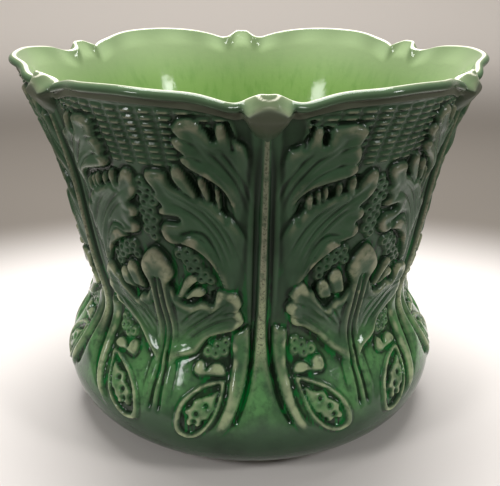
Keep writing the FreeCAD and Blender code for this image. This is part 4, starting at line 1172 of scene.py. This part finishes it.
@dataclass
class Jardiniere:
    """The glazed pot: wall, relief, rolls and knobs, all cut from one surface."""

    surface: Field = field(default_factory=Field)
    ornament_from: dict[Family, float] = field(default_factory=lambda: {
        Family.MAIN_STEM: -30.0, Family.UPPER_LEAF: -30.0, Family.LOWER_LEAF: -30.0,
        Family.SEED_POD: -30.0, Family.SEED_CLUSTER: -26.25, Family.WAIST_LEAF: 0.0,
        Family.WEAVE_PANEL: 0.0,
    })
    wall_from: float = 0.0
    knob_half_angle: float = 6.375

    def columns_from(self, azimuth: float, width: float) -> Grid:
        """Numbers of the grid columns of a window."""
        step = 360.0 / self.surface.columns
        first = round(azimuth / step)
        return np.arange(first, first + round(width / step) + 1) % self.surface.columns

    def chart(self, rows: int, columns: int, low: float, high: float) -> Grid:
        """Texture places of a grid of points, between two shares of the texture's width."""
        across = np.linspace(low, high, columns)[None, :] + np.zeros((rows, 1))
        along = np.linspace(0.002, 0.998, rows)[:, None] + np.zeros((1, columns))
        return np.stack([across, along], axis=-1)

    def shell(self, *grids: tuple[Grid, Grid, Grid, Grid]) -> Shell:
        """A shell with the points of several grids, one after another."""
        parts = [np.concatenate([grid[k].reshape(-1, grid[k].shape[-1]) for grid in grids]) for k in range(4)]
        return Shell(*parts)

    def ornament(self, family: Family, number: int) -> bpy.types.Object:
        """Make one piece of relief.

        Args:
            family: which relief.
            number: which of the six, from 1.

        Returns:
            The piece.
        """
        s = self.surface
        columns = self.columns_from(self.ornament_from[family] + PITCH * (number - 1), PITCH)
        rows = slice(s.first_wall, s.last_wall + 1)
        mask = s.label[:, columns[:-1]] == family.value
        keep_rows = np.nonzero(mask.any(axis=1))[0]
        keep_columns = np.nonzero(mask.any(axis=0))[0]
        r0, r1 = keep_rows[0], keep_rows[-1] + 2
        c0, c1 = keep_columns[0], keep_columns[-1] + 2
        mask = mask[r0:r1 - 1, c0:c1 - 1]
        columns = columns[c0:c1]
        front = s.place[rows][r0:r1][:, columns]
        normal = s.normal[rows][r0:r1][:, columns]
        marks = s.marks[rows][r0:r1][:, columns]
        back = s.under[r0:r1][:, columns]
        chart = self.chart(r1 - r0, c1 - c0, 0.0, 1.0)
        shell = self.shell((front, normal, marks, chart), (back, -normal, marks, chart))
        over = np.arange((r1 - r0) * (c1 - c0)).reshape(r1 - r0, c1 - c0)
        under = over + over.size
        shell.shown.append(quads_of(over, mask))
        shell.hidden.append(quads_of(under, mask)[:, ::-1])
        shell.hidden.append(sides_of(over, under, mask, False))
        return shell.build(f"{family.name.lower()}_{number}_glazed")

    def wall(self, number: int) -> bpy.types.Object:
        """Make one sixth of the wall, with pockets under the relief.

        Args:
            number: which of the six, from 1.

        Returns:
            The piece.
        """
        s = self.surface
        columns = self.columns_from(self.wall_from + PITCH * (number - 1), PITCH)
        outer = slice(0, s.last_wall + 1)
        inner = slice(s.first_inner, len(s.place))
        wide = len(columns)
        ground = np.zeros((s.last_wall, wide - 1), bool)
        ground[:s.first_wall] = True
        ground[s.first_wall:] = s.label[:, columns[:-1]] == Family.WALL.value
        front = s.place[outer][:, columns]
        pocket = front.copy()
        sunk = s.under[:, columns] - s.normal[s.first_wall:s.last_wall + 1][:, columns] * 0.05 * MM
        pocket[s.first_wall:] = sunk
        normal, marks = s.normal[outer][:, columns], s.marks[outer][:, columns]
        inside = s.place[inner][:, columns]
        tall = len(front)
        shell = self.shell(
            (front, normal, marks, self.chart(tall, wide, 0.0, 0.62)),
            (pocket, normal, marks, self.chart(tall, wide, 0.0, 1.0)),
            (inside, s.normal[inner][:, columns], s.marks[inner][:, columns],
             self.chart(len(inside), wide, 0.64, 1.0)))
        over = np.arange(tall * wide).reshape(tall, wide)
        under = over + over.size
        within = np.arange(len(inside) * wide).reshape(-1, wide) + 2 * over.size
        shell.shown += [quads_of(over, ground), quads_of(within, np.ones((len(inside) - 1, wide - 1), bool))]
        shell.hidden += [quads_of(under, ~ground), sides_of(over, under, ground, True)]
        strip = np.ones((1, wide - 1), bool)
        shell.hidden.append(quads_of(np.vstack([over[-1], within[0]]), strip))
        shell.hidden.append(quads_of(np.vstack([within[-1], over[0]]), strip))
        for column, face, back_to_front in ((0, 0, False), (wide - 1, wide - 2, True)):
            line = [over[0, column]]
            for row in range(tall - 1):
                at = over if ground[row, face] else under
                if at[row, column] != line[-1]:
                    line.append(at[row, column])
                line.append(at[row + 1, column])
            line += list(within[:, column])
            shell.caps.append([int(v) for v in (line[::-1] if back_to_front else line)])
        return shell.build(f"vessel_wall_{number}_glazed")

    def rim(self, name: str, start: float, width: float) -> bpy.types.Object:
        """Make one length of the rim.

        Args:
            name: its name.
            start: where it starts, in degrees.
            width: how many degrees it takes.

        Returns:
            The piece.
        """
        s = self.surface
        columns = self.columns_from(start, width)
        rows = slice(s.last_wall, s.first_inner + 1)
        front = s.place[rows][:, columns]
        tall, wide = front.shape[:2]
        shell = self.shell((front, s.normal[rows][:, columns], s.marks[rows][:, columns],
                            self.chart(tall, wide, 0.0, 1.0)))
        over = np.arange(tall * wide).reshape(tall, wide)
        shell.shown.append(quads_of(over, np.ones((tall - 1, wide - 1), bool)))
        shell.hidden.append(quads_of(np.vstack([over[-1], over[0]]), np.ones((1, wide - 1), bool)))
        shell.caps.append([int(v) for v in over[:, 0]])
        shell.caps.append([int(v) for v in over[::-1, -1]])
        return shell.build(name)

    def make(self, glaze: bpy.types.Material) -> None:
        """Build every glazed piece, dress it and put it in place of its node.

        Args:
            glaze: the finish of all of them.
        """
        half = self.knob_half_angle
        for number in range(1, REPEATS + 1):
            start = PITCH * (number - 1)
            self.settle(self.wall(number), glaze, "body", "belly_wall", "flared_wall")
            for family in self.ornament_from:
                self.settle(self.ornament(family, number), glaze, "ornament", f"{family.name.lower()}_{number}")
            knob = self.rim(f"rim_knob_{number}_glazed", start - half, 2 * half)
            self.settle(knob, glaze, "rim", f"rim_knob_{number}")
            roll = self.rim(f"rim_roll_{number}_glazed", start + half, PITCH - 2 * half)
            self.settle(roll, glaze, "rim", f"rim_roll_{number}")

    @staticmethod
    def settle(piece: bpy.types.Object, glaze: bpy.types.Material, slot: str, *nodes: str) -> None:
        """Dress a piece, put it in place of its nodes and report it.

        Args:
            piece: the piece.
            glaze: its finish.
            slot: not used.
            *nodes: the nodes that it stands for.
        """
        piece.data.materials.append(glaze)
        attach(piece, "root")
        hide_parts(*nodes)
        LOG.info("%s: %d faces", piece.name, len(piece.data.polygons))


# ------------------------------------------------------------------ finishes


def linear(colour: str) -> tuple[float, float, float, float]:
    """Linear colour, with alpha 1, from an sRGB hex value."""
    parts = (int(colour[k:k + 2], 16) / 255 for k in (1, 3, 5))
    red, green, blue = (v / 12.92 if v <= 0.04045 else ((v + 0.055) / 1.055) ** 2.4 for v in parts)
    return red, green, blue, 1.0


def add(tree: bpy.types.NodeTree, kind: str, settings: dict[str, object] | None = None,
        **links: object) -> bpy.types.Node:
    """Add a node with its settings and links.

    Args:
        tree: the node tree.
        kind: the node's type name.
        settings: attributes of the node.
        **links: input name, with _ for a space, or in_N for input number N; a socket is linked and
            anything else is set.

    Returns:
        The node.
    """
    node = tree.nodes.new(kind)
    for name, value in (settings or {}).items():
        setattr(node, name, value)
    for name, value in links.items():
        key = int(name[3:]) if name.startswith("in_") else name.replace("_", " ")
        if isinstance(value, bpy.types.NodeSocket):
            tree.links.new(value, node.inputs[key])
        else:
            node.inputs[key].default_value = value
    return node


@dataclass(frozen=True)
class LeadGlaze:
    """Lead glaze over moulded buff earthenware, called majolica: brushed on, fired glossy.

    The clear green glass runs off edges and tips, where the buff body shows through it as a pale olive,
    and gathers in hollows, where it turns nearly black, or vivid green where it has run together.
    """

    name: str = "lead_glaze_green"
    grey_green: str = "#3D573F"
    # Deep green of glaze pooled in hollows and of darker clouds, also laid low outside and inside as painted shade.
    deep_glaze_and_shade: str = "#0D180F"
    run_green: str = "#0F6A2C"
    # Brighter green of the belly: partly the glaze's own mottle, partly painted light.
    belly_green_and_light: str = "#62975C"
    worn: str = "#94917A"
    worn_low: str = "#A9BA8E"
    cream: str = "#F4F5DE"
    inner: str = "#7E9F58"
    inner_pale_light: str = "#92A57A"
    inner_run: str = "#668F44"
    dry_brown: str = "#58584A"
    speck: str = "#2E2A20"
    roughness: float = 0.09
    ior: float = 1.5
    specular: float = 0.27

    def build(self) -> bpy.types.Material:
        """Make the material."""
        material = bpy.data.materials.new(self.name)
        material.use_nodes = True
        tree = material.node_tree
        tree.nodes.clear()
        here = add(tree, "ShaderNodeTexCoord").outputs["Object"]
        mark = {name: add(tree, "ShaderNodeAttribute", {"attribute_name": name}).outputs["Fac"] for name in MARKS}
        split = add(tree, "ShaderNodeSeparateXYZ", None, Vector=here)
        level = split.outputs["Z"]
        # Clouds of thicker and thinner glaze, 25 mm and 6 mm across.
        clouds = add(tree, "ShaderNodeTexNoise", None, Vector=here, Scale=1 / 0.025, Detail=4.0, Roughness=0.55).outputs["Fac"]
        mottle = add(tree, "ShaderNodeTexNoise", None, Vector=here, Scale=1 / 0.004, Detail=4.0).outputs["Fac"]
        # Runs down the wall, 5 mm wide and 80 mm long.
        drawn = add(tree, "ShaderNodeMapping", None, Vector=here, Scale=(1.0, 1.0, 0.06)).outputs["Vector"]
        runs = add(tree, "ShaderNodeTexNoise", None, Vector=drawn, Scale=1 / 0.005, Detail=3.0, Roughness=0.6).outputs["Fac"]

        def ramp(value: object, low: float, high: float) -> bpy.types.NodeSocket:
            """Value eased from 0 at low to 1 at high."""
            return add(tree, "ShaderNodeMapRange", {"interpolation_type": "SMOOTHSTEP"}, Value=value,
                       From_Min=low, From_Max=high).outputs["Result"]

        def times(one: object, other: object) -> bpy.types.NodeSocket:
            """Product of two values."""
            return add(tree, "ShaderNodeMath", {"operation": "MULTIPLY"}, in_0=one, in_1=other).outputs[0]

        def over(base: object, top: str, share: object) -> bpy.types.NodeSocket:
            """Base colour with another laid over it by a share."""
            return add(tree, "ShaderNodeMix", {"data_type": "RGBA"}, in_0=share, in_6=base,
                       in_7=linear(top)).outputs[2]

        colour = over(linear(self.grey_green), self.deep_glaze_and_shade, times(ramp(clouds, 0.42, 0.7), 0.35))
        # A brighter, mottled green on the belly: partly the glaze's own mottle and partly painted light on the belly.
        waist = times(ramp(level, 0.026, 0.050), ramp(level, 0.094, 0.056))
        mottled = times(ramp(clouds, 0.3, 0.6), ramp(mottle, 0.15, 0.65))
        colour = over(colour, self.belly_green_and_light, times(waist, mottled))
        # Painted shade: the outside is darkened towards the bottom, under the belly.
        colour = over(colour, self.deep_glaze_and_shade, times(ramp(level, 0.040, 0.018), 0.3))
        colour = over(colour, self.deep_glaze_and_shade, times(ramp(mark["pooled"], 0.08, 0.8), 0.8))
        vivid = times(ramp(mark["pooled"], 0.15, 0.7), ramp(runs, 0.5, 0.62))
        colour = over(colour, self.run_green, times(vivid, ramp(level, 0.16, 0.07)))
        bare = add(tree, "ShaderNodeMapRange", None, Value=level, From_Min=0.115, From_Max=0.15, To_Min=0.8,
                   To_Max=0.56).outputs["Result"]
        thin = times(ramp(mark["thin"], 0.12, 0.9), times(ramp(mottle, 0.15, 0.6), bare))
        colour = over(colour, self.worn, thin)
        colour = over(colour, self.worn_low, times(thin, ramp(level, 0.13, 0.07)))
        specks = add(tree, "ShaderNodeTexNoise", None, Vector=here, Scale=1 / 0.0011, Detail=2.0).outputs["Fac"]
        colour = over(colour, self.speck, times(mark["speckled"], times(ramp(specks, 0.5, 0.64), 0.6)))
        colour = over(colour, self.dry_brown, times(mark["dry"], 0.9))
        crown = times(ramp(mark["thin"], 0.55, 0.95), ramp(level, 0.1985, 0.2002))
        colour = over(colour, self.cream, crown)
        inner = over(linear(self.inner), self.inner_run, times(ramp(runs, 0.45, 0.7), 0.55))
        # Painted light: the inside is paler towards the rim.
        inner = over(inner, self.inner_pale_light, ramp(level, 0.165, 0.2))
        # Painted shade: the inside is darkened towards its floor.
        inner = over(inner, self.deep_glaze_and_shade, times(ramp(level, 0.06, 0.01), 0.4))
        inner = over(inner, self.cream, crown)
        both = add(tree, "ShaderNodeMix", {"data_type": "RGBA"}, in_0=mark["inside"], in_6=colour, in_7=inner).outputs[2]
        # Orange peel of a fired glaze, 3 mm across, and grit under it where the ribs are worn.
        peel = add(tree, "ShaderNodeTexNoise", None, Vector=here, Scale=1 / 0.003, Detail=2.0).outputs["Fac"]
        grit = add(tree, "ShaderNodeTexNoise", None, Vector=here, Scale=1 / 0.0009, Detail=1.0).outputs["Fac"]
        bumps = add(tree, "ShaderNodeMath", {"operation": "MULTIPLY_ADD"}, in_0=times(grit, mark["speckled"]),
                    in_1=0.25, in_2=peel).outputs[0]
        bump = add(tree, "ShaderNodeBump", None, Height=bumps, Strength=0.35, Distance=0.00022)
        satin = times(times(ramp(level, 0.075, 0.11), ramp(level, 0.196, 0.186)), ramp(mark["inside"], 0.5, 0.1))
        matt = add(tree, "ShaderNodeMath", {"operation": "MULTIPLY_ADD"}, in_0=satin, in_1=0.35,
                   in_2=mark["dry"]).outputs[0]
        shine = add(tree, "ShaderNodeMapRange", None, Value=satin, To_Min=self.specular, To_Max=0.5 * self.specular)
        rough = add(tree, "ShaderNodeMapRange", None, Value=matt, To_Min=self.roughness, To_Max=0.5)
        shader = add(tree, "ShaderNodeBsdfPrincipled", None, Base_Color=both, Roughness=rough.outputs[0],
                     IOR=self.ior, Specular_IOR_Level=shine.outputs[0], Normal=bump.outputs["Normal"])
        add(tree, "ShaderNodeOutputMaterial", None, Surface=shader.outputs["BSDF"])
        return material


@dataclass(frozen=True)
class PlainGlaze:
    """The same lead glaze where it lies even and thin on the inside of the floor."""

    name: str = "lead_glaze_floor"
    colour: str = "#7C9C58"
    run: str = "#5F8540"
    roughness: float = 0.14
    specular: float = 0.27

    def build(self) -> bpy.types.Material:
        """Make the material."""
        material = bpy.data.materials.new(self.name)
        material.use_nodes = True
        tree = material.node_tree
        tree.nodes.clear()
        here = add(tree, "ShaderNodeTexCoord").outputs["Object"]
        # Clouds of glaze, 20 mm across.
        clouds = add(tree, "ShaderNodeTexNoise", None, Vector=here, Scale=1 / 0.02, Detail=4.0).outputs["Fac"]
        colour = add(tree, "ShaderNodeMix", {"data_type": "RGBA"}, in_0=clouds, in_6=linear(self.colour),
                     in_7=linear(self.run)).outputs[2]
        shader = add(tree, "ShaderNodeBsdfPrincipled", None, Base_Color=colour, Roughness=self.roughness,
                     Specular_IOR_Level=self.specular)
        add(tree, "ShaderNodeOutputMaterial", None, Surface=shader.outputs["BSDF"])
        return material


@dataclass(frozen=True)
class BareEarthenware:
    """Buff earthenware, wiped clean of glaze and fired: matt, with fine grit and stains."""

    name: str = "earthenware_bare"
    buff: str = "#A8957A"
    stained: str = "#7C6B55"
    roughness: float = 0.85

    def build(self) -> bpy.types.Material:
        """Make the material."""
        material = bpy.data.materials.new(self.name)
        material.use_nodes = True
        tree = material.node_tree
        tree.nodes.clear()
        here = add(tree, "ShaderNodeTexCoord").outputs["Object"]
        # Stains 12 mm across and grit of 0.8 mm, drawn coarser than the real 0.2 mm to show at all.
        stains = add(tree, "ShaderNodeTexNoise", None, Vector=here, Scale=1 / 0.012, Detail=5.0).outputs["Fac"]
        grit = add(tree, "ShaderNodeTexNoise", None, Vector=here, Scale=1 / 0.0008, Detail=2.0).outputs["Fac"]
        colour = add(tree, "ShaderNodeMix", {"data_type": "RGBA"}, in_0=stains, in_6=linear(self.buff),
                     in_7=linear(self.stained)).outputs[2]
        bump = add(tree, "ShaderNodeBump", None, Height=grit, Strength=0.4, Distance=0.0002)
        shader = add(tree, "ShaderNodeBsdfPrincipled", None, Base_Color=colour, Roughness=self.roughness,
                     Normal=bump.outputs["Normal"])
        add(tree, "ShaderNodeOutputMaterial", None, Surface=shader.outputs["BSDF"])
        return material


# ------------------------------------------------------------------ studio


@dataclass
class Studio:
    """Pale floor and backdrop, soft lights and the camera at the photograph's place."""

    camera_place: tuple[float, float, float] = (-0.0250, -0.4200, 0.2600)
    heading: float = 3.4
    pitch: float = -21.8
    roll: float = 0.37
    lens: float = 53.8
    floor_colour: str = "#DDD7D3"
    painted_shade_colour: str = "#716B64"
    wall_colour: str = "#F4ECE4"

    def paper(self) -> bpy.types.Material:
        """White paper of the floor and the backdrop, with a painted pool of light and painted shade on it."""
        material = bpy.data.materials.new("studio_paper")
        material.use_nodes = True
        tree = material.node_tree
        tree.nodes.clear()
        # Paper pale round the set, a painted pool of light, and grey in a ring beyond it, painted shade, so that the
        # sides of the glaze mirror a darker field.
        here = add(tree, "ShaderNodeTexCoord").outputs["Object"]
        drawn = add(tree, "ShaderNodeMapping", None, Vector=here, Scale=(0.9, 1.25, 1.0)).outputs["Vector"]
        away = add(tree, "ShaderNodeVectorMath", {"operation": "LENGTH"}, Vector=drawn).outputs["Value"]
        near = add(tree, "ShaderNodeMapRange", {"interpolation_type": "SMOOTHSTEP"}, Value=away, From_Min=0.2,
                   From_Max=0.42).outputs["Result"]
        far = add(tree, "ShaderNodeMapRange", {"interpolation_type": "SMOOTHSTEP"}, Value=away, From_Min=0.9,
                  From_Max=2.2).outputs["Result"]
        ring = add(tree, "ShaderNodeMix", {"data_type": "RGBA"}, in_0=near, in_6=linear(self.floor_colour),
                   in_7=linear(self.painted_shade_colour)).outputs[2]
        tone = add(tree, "ShaderNodeMix", {"data_type": "RGBA"}, in_0=far, in_6=ring,
                   in_7=linear(self.wall_colour)).outputs[2]
        paper = add(tree, "ShaderNodeBsdfDiffuse", None, Color=tone)
        add(tree, "ShaderNodeOutputMaterial", None, Surface=paper.outputs["BSDF"])
        return material

    def sweep(self) -> bpy.types.Object:
        """Floor that curves up into a backdrop."""
        reach, turn, rise = 1.6, 0.35, 1.5
        section = [(-reach, 0.0), (reach - turn, 0.0)]
        section += [(reach - turn + turn * math.sin(a), turn * (1 - math.cos(a)))
                    for a in (math.radians(9 * k) for k in range(1, 11))]
        section.append((reach, rise))
        points = [(x, y, z) for y, z in section for x in (-2.2, 2.2)]
        faces = [(2 * k, 2 * k + 1, 2 * k + 3, 2 * k + 2) for k in range(len(section) - 1)]
        mesh = bpy.data.meshes.new("studio_sweep")
        mesh.from_pydata(points, [], faces)
        mesh.polygons.foreach_set("use_smooth", [True] * len(faces))
        mesh.materials.append(self.paper())
        sweep = bpy.data.objects.new("studio_sweep", mesh)
        bpy.context.scene.collection.objects.link(sweep)
        return sweep

    def lamp(self, name: str, place: tuple[float, float, float], size: tuple[float, float], power: float,
             aim: tuple[float, float, float] = (0.0, 0.0, 0.1)) -> None:
        """Hang a soft box.

        Args:
            name: its name.
            place: its middle.
            size: its width and height.
            power: its power in watts.
            aim: what it points at.
        """
        light = bpy.data.lights.new(name, "AREA")
        light.shape = "RECTANGLE"
        light.size, light.size_y = size
        light.energy = power
        lamp = bpy.data.objects.new(name, light)
        lamp.location = place
        direction = Vector(aim) - Vector(place)
        lamp.rotation_euler = direction.to_track_quat("-Z", "Y").to_euler()
        bpy.context.scene.collection.objects.link(lamp)

    def world(self) -> None:
        """Even, dim surroundings."""
        world = bpy.data.worlds.new("studio_room")
        bpy.context.scene.world = world
        world.use_nodes = True
        tree = world.node_tree
        tree.nodes.clear()
        soft = add(tree, "ShaderNodeBackground", None, Color=linear("#E9E6E0"), Strength=0.24)
        add(tree, "ShaderNodeOutputWorld", None, Surface=soft.outputs[0])

    def camera(self) -> None:
        """Stand the camera where the photograph was taken."""
        data = bpy.data.cameras.new("camera")
        data.sensor_width = 36.0
        data.lens = self.lens
        camera = bpy.data.objects.new("camera", data)
        camera.location = self.camera_place
        turn = Matrix.Rotation(math.radians(-self.heading), 4, "Z") @ Matrix.Rotation(
            math.radians(90 + self.pitch), 4, "X") @ Matrix.Rotation(math.radians(self.roll), 4, "Z")
        camera.rotation_euler = turn.to_euler()
        bpy.context.scene.collection.objects.link(camera)
        bpy.context.scene.camera = camera

    def set_up(self) -> None:
        """Build the whole studio."""
        self.sweep()
        self.lamp("soft_box_over", (0.0, 0.24, 1.1), (0.8, 0.8), 23.0)
        self.lamp("soft_box_left", (-1.0, -0.75, 0.8), (0.3, 0.3), 6.0)
        self.lamp("soft_box_right", (1.0, -0.65, 0.8), (0.26, 0.26), 5.5)
        self.world()
        self.camera()
        scene = bpy.context.scene
        scene.view_settings.view_transform = "Standard"


# ------------------------------------------------------------------ whole


def main() -> None:
    """Build the pieces and the studio."""
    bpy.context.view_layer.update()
    Jardiniere().make(LeadGlaze().build())
    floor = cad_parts["vessel_floor"]
    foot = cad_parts["foot_ring"]
    for node, finish in ((floor, PlainGlaze().build()), (foot, BareEarthenware().build())):
        node.data.materials.clear()
        node.data.materials.append(finish)
        LOG.info("%s: dressed", node.name)
    Studio().set_up()


if __name__ == "__main__":
    main()
